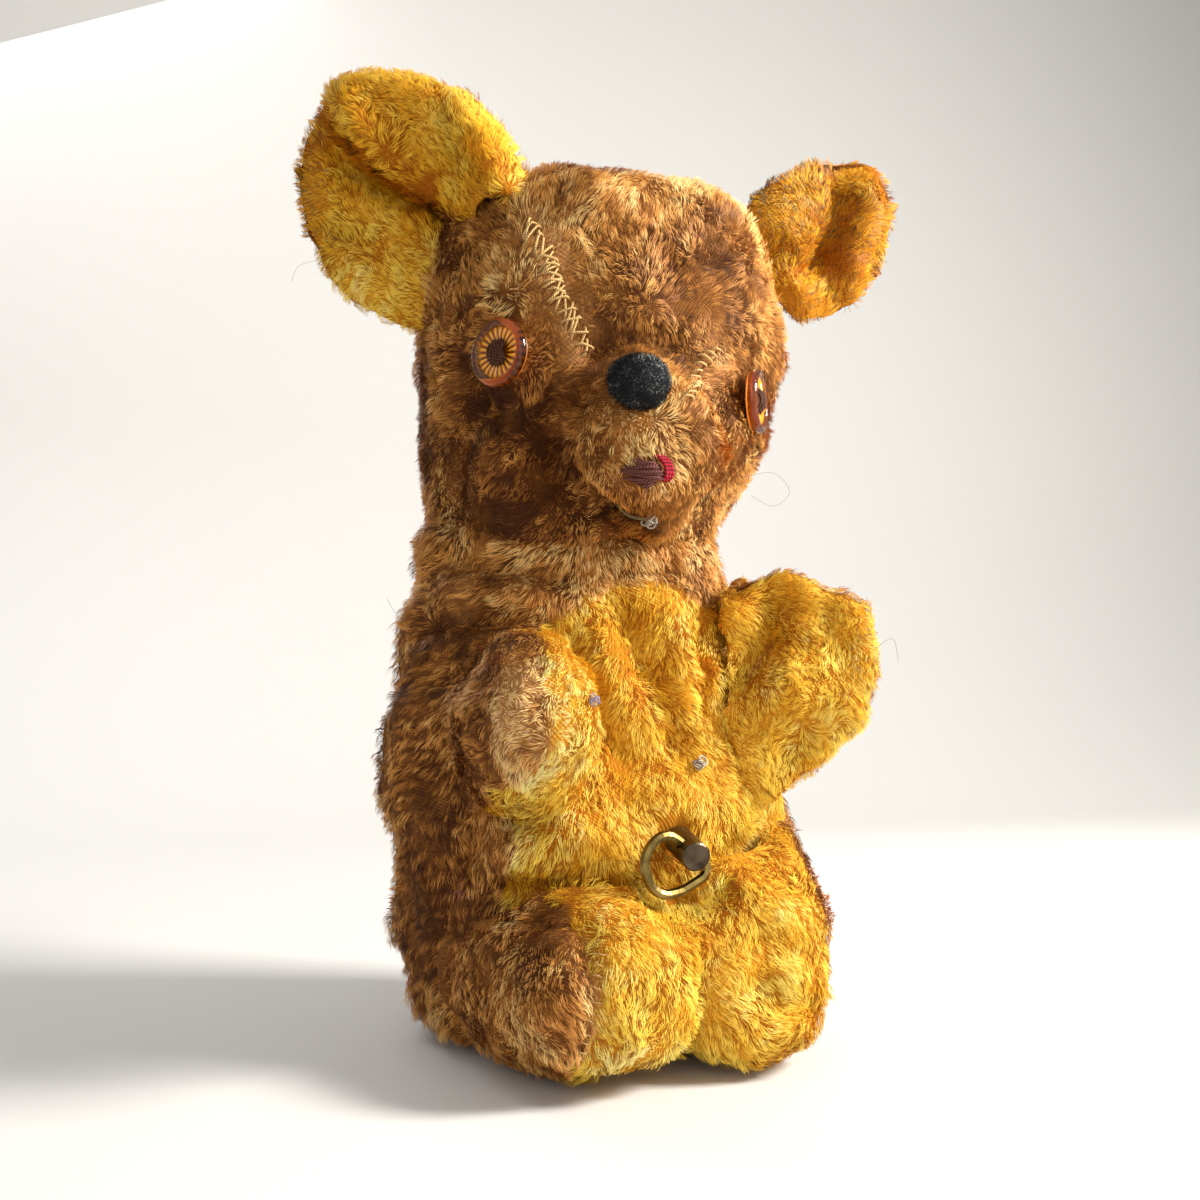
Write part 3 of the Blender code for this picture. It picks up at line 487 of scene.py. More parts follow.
# %% Moving the covers
LUMPS = ((24 * MM, 1.8 * MM, 3), (10 * MM, 1.1 * MM, 4), (6 * MM, 0.5 * MM, 5))  # across, high, seed
LUMPY = {"head": 0.55, "ear_right": 0.7, "ear_left": 0.8}  # covers that are smoother than the rest
TABLE_GAP = 0.4 * MM

for node, folds in FOLDS.items():
    mesh = skins[node].data
    points, normals = points_of(mesh), normals_of(mesh)
    rise = sum(high * waves(points, across, seed) for across, high, seed in LUMPS) * LUMPY.get(node, 1)
    moved = normals * rise[:, None]
    for line, width, height, *way in folds:
        direction = unit(np.array(way[0])) if way else normals
        moved = moved + direction * (height * MM * near(points, line, width))[:, None]
    # The base stays flat under the weight.
    moved = moved * smooth_step(0.5 * MM, 9 * MM, points[:, 2])[:, None]
    points = points + moved
    points[:, 2] = np.maximum(points[:, 2], TABLE_GAP)
    set_points(mesh, points)
    if node in ("torso", "leg_right", "leg_left"):
        leave_room(mesh)
    print(node, "moved by up to", round(float(np.linalg.norm(moved, axis=1).max() / MM), 1), "mm")

# %% [markdown]
# ## Where the plush is gold and where it is brown
#
# The maker cut the front of the bear from golden plush and the back and head from brown. Each point of a
# cover gets a share of gold from where it lies, with an edge that wanders a little, as hairs cross a seam.

# %% Gold and brown
GOLD_RULES = {  # from a point's place in mm: above 0 is gold, and the divisor is how soft the edge is
    # The front panel, from side seam to side seam, and up to a curved neck edge.
    "torso": lambda x, y, z, normals: np.minimum.reduce(
        [127 - 0.017 * (x - 2) ** 2 - z, x + 37, 48 - x, -y]) / 1.5,
    # The inner side, with the seam over the paw's tip.
    "arm_right": lambda x, y, z, normals: (x + 37.5 + 7 * smooth_step(85, 70, z)) / 1.2,
    # All but the top edge and the back.
    "arm_left": lambda x, y, z, normals: (normals @ np.array((-0.2, -0.95, -0.25)) - 0.22) / 0.15,
    # The sole and the inner side, past a seam that runs up the foot.
    "leg_right": lambda x, y, z, normals: (x + 27 + 1.5 * np.sin(z / 6)) / 1.2,
    # All but the outer side.
    "leg_left": lambda x, y, z, normals: (38 - x - 0.35 * (y + 40)) / 1.5,
    # The front of an ear.
    "ear_right": lambda x, y, z, normals: (0.12 - normals[:, 1]) / 0.2,
    "ear_left": lambda x, y, z, normals: (0.12 - normals[:, 1]) / 0.2,
    # The head is brown all over.
    "head": lambda x, y, z, normals: np.full(len(x), -9.0),
}


def gold_share(node, points, normals):
    """How far each point lies on the golden side of the seam: over 0.5 is gold."""
    x, y, z = (points / MM).T
    return smooth_step(-1, 1, GOLD_RULES[node](x, y, z, normals) + 0.5 * waves(points, 3 * MM, 7))

# %% [markdown]
# ## Which way the pile lies
#
# Plush has a nap. On the body it was brushed down, on the ears out from where they are sewn on, and on the
# snout away from the nose. Handling has stirred it, so slow noise turns it into swirls and partings.

# %% The nap
SEWN_AT = {  # where a piece is sewn on, in mm, and how much its nap also falls
    "ear_right": ((-34, -2, 214), 0), "ear_left": ((60, 8, 224), 0),
    "arm_right": ((-30, -20, 104), 0.6), "arm_left": ((20, -20, 105), 0.35),
}
CROWN_WAY, CHEEK_WAY, LEG_WAY = (0.45, 0.0, 1.0), (-0.35, 0.0, -1.0), (0.1, -0.45, -1.0)


def away_from(points, centre):
    """Directions away from a place in mm."""
    return unit(points - np.array(centre) * MM)


def brushed(node, points):
    """The way each point's pile was brushed."""
    if node in SEWN_AT:
        centre, fall = SEWN_AT[node]
        return away_from(points, centre) - np.array((0, 0, fall))
    if node == "torso":  # down, and fanning out from the neck over the front
        return away_from(points, (4, -30, 175)) * np.array((1.5, 1, 1)) + np.array((0.0, -0.1, -0.3))
    if node == "head":  # up on the crown, down on the cheeks, and away from the nose on the snout
        x, y, z = (points / MM).T
        up = smooth_step(190, 215, z)[:, None]
        snout = (smooth_step(-40, -52, y) * smooth_step(205, 180, z))[:, None]
        side = np.array(CHEEK_WAY) * (1 - up) + np.array(CROWN_WAY) * up
        return side * (1 - snout) + away_from(points, (-12, -60, 172)) * snout
    return np.tile(np.array(LEG_WAY), (len(points), 1))


def nap_at(node, points, normals, stir):
    """Unit directions in the cover along which the pile lies, stirred by noise."""
    swirl = np.stack([waves(points, 15 * MM, seed) for seed in (21, 22, 23)], axis=1)
    small = np.stack([waves(points, 5 * MM, seed) for seed in (31, 32, 33)], axis=1)
    laid = unit(brushed(node, points)) + stir * (1.1 * swirl + 0.6 * small)
    laid -= normals * np.sum(laid * normals, axis=1, keepdims=True)
    return unit(laid)

# %% Mats and ribs
def partings(points):
    """1 in the crooked partings between mats of pile, and 0 on the mats."""
    warped = points + np.stack([waves(points, 3 * MM, seed) for seed in (45, 46, 47)], axis=1) * 1.2 * MM
    return np.exp(-((waves(warped, 4.5 * MM, 44) / 0.26) ** 2))


def ribs(node, points):
    """The short ridges that worn pile forms along the right flank, from -1 to 1, and 0 elsewhere."""
    x, y, z = (points / MM).T
    flank = smooth_step(-40, -50, x) * smooth_step(136, 126, z) * (node == "torso")
    return flank * np.sin(2 * math.pi * (z - 0.35 * np.abs(y - 4)) / 4.2 + 2.2 * waves(points, 9 * MM, 48))

# %% [markdown]
# ## Worn, stained and faded places, and painted shade and light
#
# Each mark on the bear is one row of a list: which cover, a line through places, how far it spreads, what it
# does and how much. "shade" moves the plush towards its darkest or lightest colour. Some of these rows are
# its own tone, and many are painted shade, in folds, hollows and creases, under the jaw and over the flank
# and cheek that face away from the key lamp, or painted light, on the crown, on the cheek that faces the lamp
# and along the ear's roll. "worn" shortens and thins it, and "grey" and "rose" give a share of the hairs
# another colour: dirt, or the stain of old dye.

# %% The list of marks
PAW = [(-46, -74, 97), (-44, -70, 85)]
SNOUT_SIDE = [(10, -58, 178), (19, -47, 191)]
MARKS = {  # a line in mm, how far it spreads, what it does, and how much
    "torso": [
        # Painted shade in the furrows and the armhole, and painted light on the ridge between the furrows on
        # the next line.
        (FURROW, 4.5, "shade", -0.30), (SIDE_FURROW, 4.5, "shade", -0.28), (ARMHOLE, 2.6, "shade", -0.6),
        ([(-12, -42, 110), (-6, -47, 92)], 5, "shade", 0.12),
        # Painted shade in the lap crease and low where the torso meets the right leg; the rose spot is a
        # stain.
        ([(-35, -45, 45), (-10, -50, 47), (14, -48, 48)], 5, "shade", -0.35),
        ([(-47, -38, 39)], 11, "shade", -0.4), ([(-51, -31, 46)], 5, "rose", 0.5),
        # A worn spot, then painted shade in the crease behind the right arm.
        ([(-48, -21, 123)], 9, "worn", 0.25), ([(-54, -26, 106), (-56, -25, 60)], 6, "shade", -0.35),
        # Painted shade in the lap crease, and over the whole right flank, which faces away from the key lamp.
        (LAP_CREASE, 4, "shade", -0.3), ([(-62, -6, 104), (-62, -6, 46)], 24, "shade", -0.32),
        # The neck made lighter, then painted shade low on the right flank.
        ([(-34, -33, 120)], 9, "shade", 0.25), ([(-54, -20, 26)], 12, "shade", -0.25),
        ([(-30, -42, 84), (-34, -40, 66)], 8, "shade", 0.22),
        ([(-62, -6, 108), (-62, -6, 40)], 22, "worn", 0.12), (LAP_CREASE[:2], 5, "worn", 0.2),
        # The neck roll's shade row is painted shade in its crease.
        (NECK_SEAM, 4, "shade", 0.05), (NECK_ROLL, 4, "shade", -0.2),
        ([(-30, -33, 134), (14, -36, 134)], 8, "shade", 0.3),
        ([(-62, 6, 112), (-62, 4, 50)], 6, "shade", 0.2),
        ([(-60, 12, 112), (-61, 10, 50)], 6, "grey", 0.25),
    ],
    "head": [
        # Painted shade in the eye hollow and in the cheek hollow.
        (EYE_HOLLOW, 6, "shade", -0.8), (EYE_HOLLOW, 6, "rose", 0.35), (CHEEK_HOLLOW, 7, "shade", -0.5),
        # Painted shade in the bridge's crease, and on the right cheek, which faces away from the key lamp.
        (BRIDGE, 4.5, "shade", -0.3), ([(-46, -24, 172), (-40, -30, 148)], 13, "shade", -0.38),
        # Painted light on the side of the crown that faces the key lamp.
        ([(14, -34, 240), (38, -24, 234)], 15, "shade", 0.22),
        # Painted light on the left cheek, which faces the key lamp.
        ([(40, -32, 196), (42, -30, 168)], 11, "shade", 0.18), ([(26, -44, 166)], 10, "shade", 0.2),
        ([(-8, -46, 222), (-2, -48, 206)], 6, "shade", -0.28), ([(-17, -42, 233)], 10, "shade", 0.34),
        ([(18, -38, 226), (10, -45, 207)], 7, "shade", -0.24), ([(-38, -36, 206)], 7, "shade", 0.15),
        ([(-14, -68, 160)], 12, "shade", 0.4), ([(8, -58, 150), (16, -48, 150)], 10, "shade", 0.2),
        # Painted shade in the cheek hollow, and a painted shadow under the jaw.
        ([(-24, -41, 153)], 10, "shade", -0.3), ([(-32, -28, 142), (-8, -50, 139)], 8, "shade", -0.3),
        (MENDED_SEAM, 5, "worn", 0.6), (MENDED_SEAM, 6, "shade", 0.25),
        (SNOUT_SIDE, 6, "worn", 0.35), (SNOUT_SIDE, 6, "shade", 0.22),
        ([(53, -5, 214)], 7, "grey", 0.55), ([(53, -5, 214)], 6, "worn", 0.35),
        ([(-12, -69, 147)], 5, "rose", 0.6),
    ],
    "ear_right": [
        # Painted shadow under the roll, then a darker patch.
        (EAR_FOLD, 4.5, "shade", -0.7), ([(-78, 7, 254)], 9, "shade", -0.35),
        # Painted shadow where the fold meets the head.
        ([(-54, -4, 236), (-62, 2, 240)], 6, "shade", -0.25),
        # Painted light along the top of the roll.
        ([(-62, -1, 262), (-50, -5, 256), (-38, -10, 256)], 6, "shade", 0.2),
        (EAR_RIM, 7, "grey", 0.35), (EAR_RIM, 9, "shade", -0.15),
        ([(-70, 4, 214), (-62, 2, 208)], 10, "shade", 0.2),
        # Painted shade in the crease along the ear's root.
        ([(-48, -6, 262), (-49, -6, 240)], 4, "shade", -0.3),
    ],
    "ear_left": [
        # A grey share, then painted shade in the pocket and in a hollow beside it.
        ([(80, 5, 250)], 26, "grey", 0.4), (POCKET, 5, "shade", -0.45), ([(80, 5, 238)], 7, "shade", -0.4),
        ([(58, 2, 262), (56, 2, 248)], 6, "grey", 0.8),
    ],
    "arm_right": [
        (PAW, 9, "worn", 0.25), (PAW, 10, "shade", 0.75), (PAW, 8, "rose", 0.12),
        ([(-39, -74, 107)], 5, "shade", 0.2), ([(-49, -47, 75)], 8, "shade", -0.35),
        ([(-31, -70, 88)], 8, "shade", 0.22),
    ],
    "arm_left": [([(61, -51, 117), (60, -53, 95)], 6, "grey", 0.25)],
    "leg_right": [
        (FOOT_SEAM, 3, "worn", 0.4), ([(-46, -60, 20)], 9, "shade", 0.15),
        ([(-40, -60, 44)], 8, "shade", -0.2), ([(-20, -70, 44), (-20, -74, 12)], 7, "shade", 0.28),
    ],
    "leg_left": [([(42, -64, 19), (44, -50, 30)], 6, "shade", -0.3)],
}


def marks(node, points, what):
    """The sum of a cover's marks of one kind at each point. Their edges are ragged."""
    ragged = points + np.stack([waves(points, 5 * MM, seed) for seed in (51, 52, 53)], axis=1) * 2.5 * MM
    total = np.zeros(len(points))
    for line, reach, kind, amount in MARKS[node]:
        if kind == what:
            total += amount * near(ragged, line, reach)
    return total


print(sum(len(rows) for rows in MARKS.values()), "marks")

# %% [markdown]
# ## The colours of plush
#
# A hair's colour comes from its place on a small palette map: across is its hue, and up is how far along the
# hair a point is, because plush is darker at its roots, where the light does not reach, and faded at its
# tips. The palette is a row of bands, one for each dye, and each band runs from its darkest to its lightest
# shade. The colour depends on nothing but that map.

# %% Palette
def linear(red, green, blue):
    """A colour as a screen shows it, 0 to 255, in the linear values that a shader wants."""
    return tuple(
        (c / 255 / 12.92) if c <= 10 else ((c / 255 + 0.055) / 1.055) ** 2.4 for c in (red, green, blue)
    )


SHADES = {
    "brown": ((62, 30, 8), (170, 106, 42), (232, 162, 80), (255, 218, 142)),
    "gold": ((192, 104, 4), (242, 178, 34), (255, 220, 86), (255, 243, 162)),
    "grey": ((84, 66, 38), (130, 110, 70), (174, 150, 102), (216, 198, 150)),
    "rose": ((60, 18, 16), (140, 76, 62), (190, 124, 104), (232, 178, 156)),
    "felt": ((12, 12, 14), (34, 36, 36), (100, 102, 100), (210, 208, 198)),
}
BANDS = {band: index for index, band in enumerate(SHADES)}
PALETTE = "OFBake"


def hue_of(bands, shades):
    """Where a hair's colour lies across the palette. A shade is from 0, dark, to 1, light."""
    return (bands + 0.04 + 0.92 * np.clip(shades, 0, 1)) / len(BANDS)


def ramp(tree, source, *stops):
    """The colours of a ramp with stops of (place, colour or grey value), read at a source from 0 to 1."""
    made = node_in(tree, "ValToRGB", source)
    points = made.color_ramp.elements
    while len(points) < len(stops):
        points.new(0.5)
    for point, (at, colour) in zip(points, stops):
        point.position = at
        point.color = (*(colour if isinstance(colour, tuple) else (colour,) * 3), 1)
    return made.outputs["Color"]


def multiplied(tree, first, second):
    """Two colours multiplied."""
    made = node_in(tree, "Mix")
    made.data_type = "RGBA"
    made.blend_type = "MULTIPLY"
    made.inputs[0].default_value = 1.0
    tree.links.new(first, made.inputs[6])
    tree.links.new(second, made.inputs[7])
    return made.outputs[2]

# %% The plush material
plush_strands, tree, surface = principled("plush_strands", (0.5, 0.3, 0.1), 0.5, Specular_IOR_Level=0.14)
palette = node_in(tree, "UVMap")
palette.uv_map = PALETTE
split = node_in(tree, "SeparateXYZ", palette.outputs["UV"]).outputs
stops = [
    ((BANDS[band] + 0.02 + 0.96 * step / (len(shades) - 1)) / len(BANDS), linear(*shade))
    for band, shades in SHADES.items() for step, shade in enumerate(shades)
]
rise = ramp(tree, split["Y"], (0, 0.68), (0.45, 0.94), (1, 1.05))
tree.links.new(multiplied(tree, ramp(tree, split["X"], *stops), rise), surface["Base Color"])
print("palette of", len(stops), "colours")

# %% [markdown]
# ## Growing a coat
#
# A hair is a narrow kite, folded across its widest line: two triangles, which is the least that can bend. It
# stands on a random spot of the cover, leans along the nap and bends over. Hairs near each other lean to one
# shared tip, which makes the tufts of a worn toy. None grow where another cover presses on this one, and
# none lie over the buttons, the nose, the mouth or the key, as someone has brushed them clear.

# %% Scattering and turning
def scatter(skin, count, random, weight):
    """Random spots on a cover: places and smooth normals. The weight is a function of place and normal."""
    mesh = skin.data
    mesh.calc_loop_triangles()
    corners = np.empty(len(mesh.loop_triangles) * 3, np.int32)
    mesh.loop_triangles.foreach_get("vertices", corners)
    corners = corners.reshape(-1, 3)
    points, normals = points_of(mesh), normals_of(mesh)
    a, b, c = (points[corners[:, column]] for column in range(3))
    share = np.linalg.norm(np.cross(b - a, c - a), axis=1)
    share = share * weight((a + b + c) / 3, unit(normals[corners].sum(axis=1)))
    chosen = corners[random.choice(len(corners), count, p=share / share.sum())]
    u, v = random.uniform(size=(2, count, 1))
    flip = (u + v) > 1
    u, v = np.where(flip, 1 - u, u), np.where(flip, 1 - v, v)
    blend = (1 - u - v, u, v)
    place = sum(points[chosen[:, column]] * blend[column] for column in range(3))
    normal = unit(sum(normals[chosen[:, column]] * blend[column] for column in range(3)))
    return place, normal


def turned(directions, axes, angles):
    """Directions turned about axes that are square to them."""
    angles = angles[:, None]
    return directions * np.cos(angles) + np.cross(axes, directions) * np.sin(angles)

# %% Slivers of mesh
SOFTNESS = 0.7  # how far a hair is shaded like the cover it lies on, which is how deep pile scatters light


def slivers(name, roots, middles, tips, across, widths, hues, normals):
    """One mesh of folded kites that face outwards, with their places on the palette."""
    count = len(roots)
    flat = np.cross(across, unit(tips - roots))
    outward = np.where(np.sum(flat * normals, axis=1) < 0, -1.0, 1.0)[:, None]
    across, flat = across * outward, flat * outward
    half = across * (widths / 2)[:, None]
    spots = np.stack([roots, middles - half, middles + half, tips], axis=1).reshape(-1, 3)
    first = np.arange(count, dtype=np.int32)[:, None] * 4
    corners = (first + np.array((0, 2, 1, 1, 2, 3), np.int32)).ravel()
    starts = np.arange(count * 2, dtype=np.int32) * 3
    mesh = bpy.data.meshes.new(name)
    mesh.vertices.add(len(spots))
    mesh.vertices.foreach_set("co", spots.astype(np.float32).ravel())
    mesh.loops.add(len(corners))
    mesh.loops.foreach_set("vertex_index", corners)
    mesh.polygons.add(len(starts))
    mesh.polygons.foreach_set("loop_start", starts)
    mesh.update(calc_edges=True)
    heights = np.tile(np.array((0.02, 0.5, 0.5, 0.5, 0.5, 0.98)), count)
    places = np.stack([np.repeat(hues, 6), heights], axis=1)
    layer = mesh.uv_layers.new(name=PALETTE)
    layer.data.foreach_set("uv", places.astype(np.float32).ravel())
    mesh.polygons.foreach_set("use_smooth", np.ones(count * 2, bool))
    soft = unit(SOFTNESS * normals + (1 - SOFTNESS) * flat)
    mesh.normals_split_custom_set_from_vertices(np.repeat(soft, 4, axis=0))
    mesh.materials.append(plush_strands)
    return new_object(name, mesh)

# %% Places that stay clear
def facing(turn, tip=0.0):
    """The direction out of the face, as degrees from straight ahead towards +X, and a rise."""
    turn, tip = math.radians(turn), math.radians(tip)
    return unit(np.array((math.sin(turn), -math.cos(turn), math.sin(tip))))


EYES = {"right": ((-39.6, -39.6, 186), facing(-56)), "left": ((33, -36.5, 179), facing(54))}
NOSE_AT, NOSE_OUT, NOSE_R = (-12, -68.5, 174), facing(-8, 22), 7.8
MOUTH_AT, MOUTH_OUT = (-11.3, -71.2, 152), facing(-3, -14)
MOUTH_SPOTS = ((-14.2, -70.9, 150.0, 2.0), (-11.3, -71.2, 150.4, 2.6), (-7.8, -71.4, 151.4, 2.4),
               (-5.4, -71.4, 152.4, 1.8))
BUTTON_R = 9.25
KEEP_CLEAR = [  # place in mm, direction out, radius, from, to
    (*EYES["right"], BUTTON_R - 0.2, -1, 9), (*EYES["left"], BUTTON_R - 1.6, -1, 9),
    (NOSE_AT, NOSE_OUT, NOSE_R - 0.4, 0, 12), (KEY_AT, KEY_OUT, 4.6, -6, 16),
] + [(spot, MOUTH_OUT, radius, -5, 8) for *spot, radius in MOUTH_SPOTS]


def in_the_way(points):
    """Whether each point lies in one of the short cylinders that stay clear."""
    hit = np.zeros(len(points), bool)
    for place, out, radius, low, high in KEEP_CLEAR:
        apart = points / MM - np.array(place)
        height = apart @ out
        side = np.linalg.norm(apart - height[:, None] * out, axis=1)
        hit |= (side < radius) & (height > low) & (height < high)
    return hit

# %% Places under another cover
FAR_SIDE = 40 * MM  # farther than the far side of any cover that a point may be buried in
TREES = {
    node: BVHTree.FromObject(skin, bpy.context.evaluated_depsgraph_get()) for node, skin in skins.items()
}
BOXES = {
    node: (points_of(skin.data).min(axis=0), points_of(skin.data).max(axis=0)) for node, skin in skins.items()
}


def buried(node, points, normals, depth):
    """Whether each point lies inside another cover, deeper than depth in metres, and faces its inside."""
    hit = np.zeros(len(points), bool)
    for other, tree in TREES.items():
        if other == node:
            continue
        low, high = BOXES[other]
        for index in np.flatnonzero(np.all((points > low) & (points < high), axis=1) & ~hit):
            place, normal, face, away = tree.find_nearest(points[index])
            if (Vector(points[index]) - place).dot(normal) < -depth:
                ahead = Vector(normals[index])
                place, normal, face, away = tree.ray_cast(points[index], ahead, FAR_SIDE)
                hit[index] = place is not None and normal.dot(ahead) > 0
    return hit

# %% One coat
CAMERA_SIDE = unit(np.array(camera.location) - np.array((0, 0, 0.12)))
BASE_WEIGHT = 0.12  # few hairs stand under the bear, where it is pressed flat
PER_TUFT = 14
PULL = 0.5  # how far a hair leans to its tuft's tip
UNDER_LOOP = 1.6  # in mm: how far hairs may stand up into the loop's room


def underneath(places, normals):
    """Whether each place is pressed on the table."""
    return (places[:, 2] < 2.5 * MM) & (normals[:, 2] < -0.6)


def hair_weight(node, side):
    """How thickly a cover is covered: all of it, or only its front or back, as the camera sees it."""
    def weight(places, normals):
        towards = normals @ CAMERA_SIDE
        share = 0.5 + 0.5 * smooth_step(-0.4, 0.2, towards)
        if side == "front":
            share = share * (towards > -0.1)
        if side == "back":
            share = share * (towards <= -0.1)
        share = share * np.where(underneath(places, normals), BASE_WEIGHT, 1)
        share = share * np.clip(1 - 0.8 * marks(node, places, "worn"), 0.1, 1)
        return share * ~buried(node, places, normals, 1.0 * MM) * ~in_the_way(places)
    return weight


def grow(node, side, count, length, lift, width, stir, wild, shade, name, seed):
    """A coat of hairs on a cover: sizes in mm, then how unruly they are, and their shade."""
    random = np.random.default_rng(seed)
    roots, normals = scatter(skins[node], count, random, hair_weight(node, side))
    nap = nap_at(node, roots, normals, stir)
    tufts = count // PER_TUFT
    centres = KDTree(tufts)
    for index in range(tufts):
        centres.insert(roots[index], index)
    centres.balance()
    tuft = np.array([centres.find(root)[1] for root in roots])

    def varied(by_tuft, by_hair):
        return random.normal(0, by_tuft, tufts)[tuft] + random.normal(0, by_hair, count)

    lean = turned(nap, normals, varied(wild, 0.15))
    lift = np.clip(lift + varied(0.16, 0.14), 0.1, 1.4)
    worn = marks(node, roots, "worn")
    mean = length * MM
    length = mean * (1 + varied(0.14, 0.17)) * (1 + 0.2 * waves(roots, 9 * MM, 43)) * (1 - worn)
    length = np.clip(length, 0.9 * MM, 1.5 * mean)
    parted, ribbed = partings(roots), ribs(node, roots)
    length = length * (1 - 0.3 * parted) * (1 + 0.25 * ribbed)
    length = np.where(underneath(roots, normals), 1.2 * MM, length)
    roots = roots - normals * (0.7 * MM * parted - 0.3 * MM * ribbed)[:, None]
    tips = roots + length[:, None] * (lean * np.cos(lift)[:, None] + normals * np.sin(lift)[:, None])
    apart = roots - roots[tuft]
    pull = PULL * random.uniform(0.5, 1.0, count)[:, None]
    tips = tips * (1 - pull) + (tips[tuft] + 0.4 * apart) * pull
    middles = (roots + tips) / 2 + normals * (0.15 * length)[:, None]
    along = unit(tips - roots)
    across = turned(unit(np.cross(along, normals)), along, random.uniform(-0.8, 0.8, count))
    widths = width * MM * random.uniform(0.7, 1.3, count)
    roots = roots - normals * 0.2 * MM
    for places in (middles, tips):
        places -= KEY_OUT * (MM * np.maximum(over_floor(places) - UNDER_LOOP, 0))[:, None]
    for places in (roots, middles, tips):
        places[:, 2] = np.maximum(places[:, 2], 0.15 * MM)

    gold = gold_share(node, roots, normals) > random.uniform(0.35, 0.65, count)
    bands = np.where(gold, BANDS["gold"], BANDS["brown"])
    for other in ("grey", "rose"):
        bands = np.where(marks(node, roots, other) > random.uniform(0, 1, count), BANDS[other], bands)
    # Random tone, then painted shade in the partings between mats, and painted light on the ribs' crests with
    # painted shade between them.
    tone_and_painted_shading = varied(0.1, 0.08) - 0.26 * parted
    tone_and_painted_shading = tone_and_painted_shading + 0.17 * waves(roots, 6 * MM, 41) + 0.15 * waves(roots, 18 * MM, 42)
    tone_and_painted_shading = tone_and_painted_shading * np.where(gold, 0.6, 1) + 0.18 * ribbed
    shade = shade + marks(node, roots, "shade") + tone_and_painted_shading
    kept = ~(in_the_way(middles) | in_the_way(tips))
    return slivers(
        name, roots[kept], middles[kept], tips[kept], across[kept], widths[kept],
        hue_of(bands, shade)[kept], normals[kept],
    )

# %% Coats
COATS = [  # cover, side, hairs, length, lift, width, stir, wild, shade
    ("torso", "front", 95000, 3.2, 0.38, 0.15, 0.4, 0.18, 0.58),
    ("torso", "back", 41000, 3.8, 0.44, 0.28, 0.6, 0.18, 0.48),
    ("head", "front", 95000, 2.7, 0.62, 0.14, 0.9, 0.3, 0.56),
    ("head", "back", 22000, 3.6, 0.55, 0.31, 0.7, 0.18, 0.5),
    ("ear_right", None, 35000, 3.1, 0.45, 0.16, 0.8, 0.3, 0.44),
    ("ear_left", None, 22000, 3.0, 0.45, 0.16, 0.8, 0.3, 0.2),
    ("arm_right", None, 23000, 2.7, 0.45, 0.15, 0.8, 0.3, 0.58),
    ("arm_left", None, 25000, 3.0, 0.40, 0.15, 0.7, 0.25, 0.50),
    ("leg_right", None, 26000, 3.1, 0.40, 0.16, 0.6, 0.25, 0.58),
    ("leg_left", None, 25000, 3.1, 0.40, 0.16, 0.7, 0.25, 0.58),
]
coats = []
for seed, row in enumerate(COATS, 100):
    name = "_".join(part for part in (*row[:2], "plush") if part)
    coats.append(grow(*row, name, seed))
    print(name, "of", len(coats[-1].data.polygons) // 2, "hairs")

# %% [markdown]
# ## The woven backing
#
# Under the pile is a woven cloth. It is dyed like its pile, and made darker than the pile as painted shade
# deep in the pile, and it shows as a pale tan weave where the pile has worn away. Its colour is painted on
# the points of the cover, from the same rules and marks as the hairs, so it takes their painted shade and
# light too, and two crossed waves give it the weave, painted darker where its threads dip and lighter where
# they cross over.

# %% Painting a cover
# The gold and brown ranges are darker than the pile, as painted shade deep in the pile; the worn range is the
# bare weave's own tan.
DYES_AND_DEPTH_SHADE = {
    "gold": (linear(170, 96, 10), linear(232, 166, 44)), "brown": (linear(76, 40, 14), linear(160, 102, 46)),
    "worn": (linear(160, 104, 58), linear(222, 164, 104)),
}


def paint(mesh, name, colours):
    """Keeps a colour for each point of a mesh."""
    layer = mesh.color_attributes.new(name, "FLOAT_COLOR", "POINT")
    solid = np.hstack([colours, np.ones((len(colours), 1))])
    layer.data.foreach_set("color", solid.astype(np.float32).ravel())


def cover_colours(node, points, normals):
    """The backing's colour at each point: its dye darkened as painted shade, shaded by the marks, and pale
    where worn bare.
    """
    gold = gold_share(node, points, normals)[:, None]
    # The shade marks bring their painted shade and light onto the backing.
    shade = np.clip(0.35 + marks(node, points, "shade") + 0.3 * waves(points, 7 * MM, 61), 0, 1)[:, None]
    worn = np.clip(marks(node, points, "worn") * 1.6, 0, 1)[:, None]
    plain = {dye: np.array(low) * (1 - shade) + np.array(high) * shade for dye, (low, high) in DYES_AND_DEPTH_SHADE.items()}
    dyed = plain["gold"] * gold + plain["brown"] * (1 - gold)
    return dyed * (1 - worn) + plain["worn"] * worn


for node, skin in skins.items():
    paint(skin.data, "dye", cover_colours(node, points_of(skin.data), normals_of(skin.data)))
print("painted", len(skins), "covers")

# %% The weave group
def new_group(name, label, amount):
    """A shader node group from an amount to a height: its tree, the amount's socket and the height's."""
    group = bpy.data.node_groups.new(name, "ShaderNodeTree")
    group.interface.new_socket(label, in_out="INPUT", socket_type="NodeSocketFloat").default_value = amount
    group.interface.new_socket("Height", in_out="OUTPUT", socket_type="NodeSocketFloat")
    return group, group.nodes.new("NodeGroupInput").outputs[0], group.nodes.new("NodeGroupOutput").inputs[0]


def calc(tree, operation, *values):
    """A sum on values or outputs of other nodes."""
    made = node_in(tree, "Math", *values)
    made.operation = operation
    return made.outputs[0]


FULL_TURN = 6.283
weave, spacing, height = new_group("weave", "Threads", 1100.0)
place = node_in(weave, "TexCoord").outputs["Object"]
grain = node_in(weave, "SeparateXYZ", place).outputs
across = calc(weave, "ADD", grain["X"], grain["Y"])
warp, weft = (
    calc(weave, "SINE", calc(weave, "MULTIPLY", way, calc(weave, "MULTIPLY", spacing, FULL_TURN)))
    for way in (across, grain["Z"])
)
weave.links.new(calc(weave, "MULTIPLY", warp, weft), height)


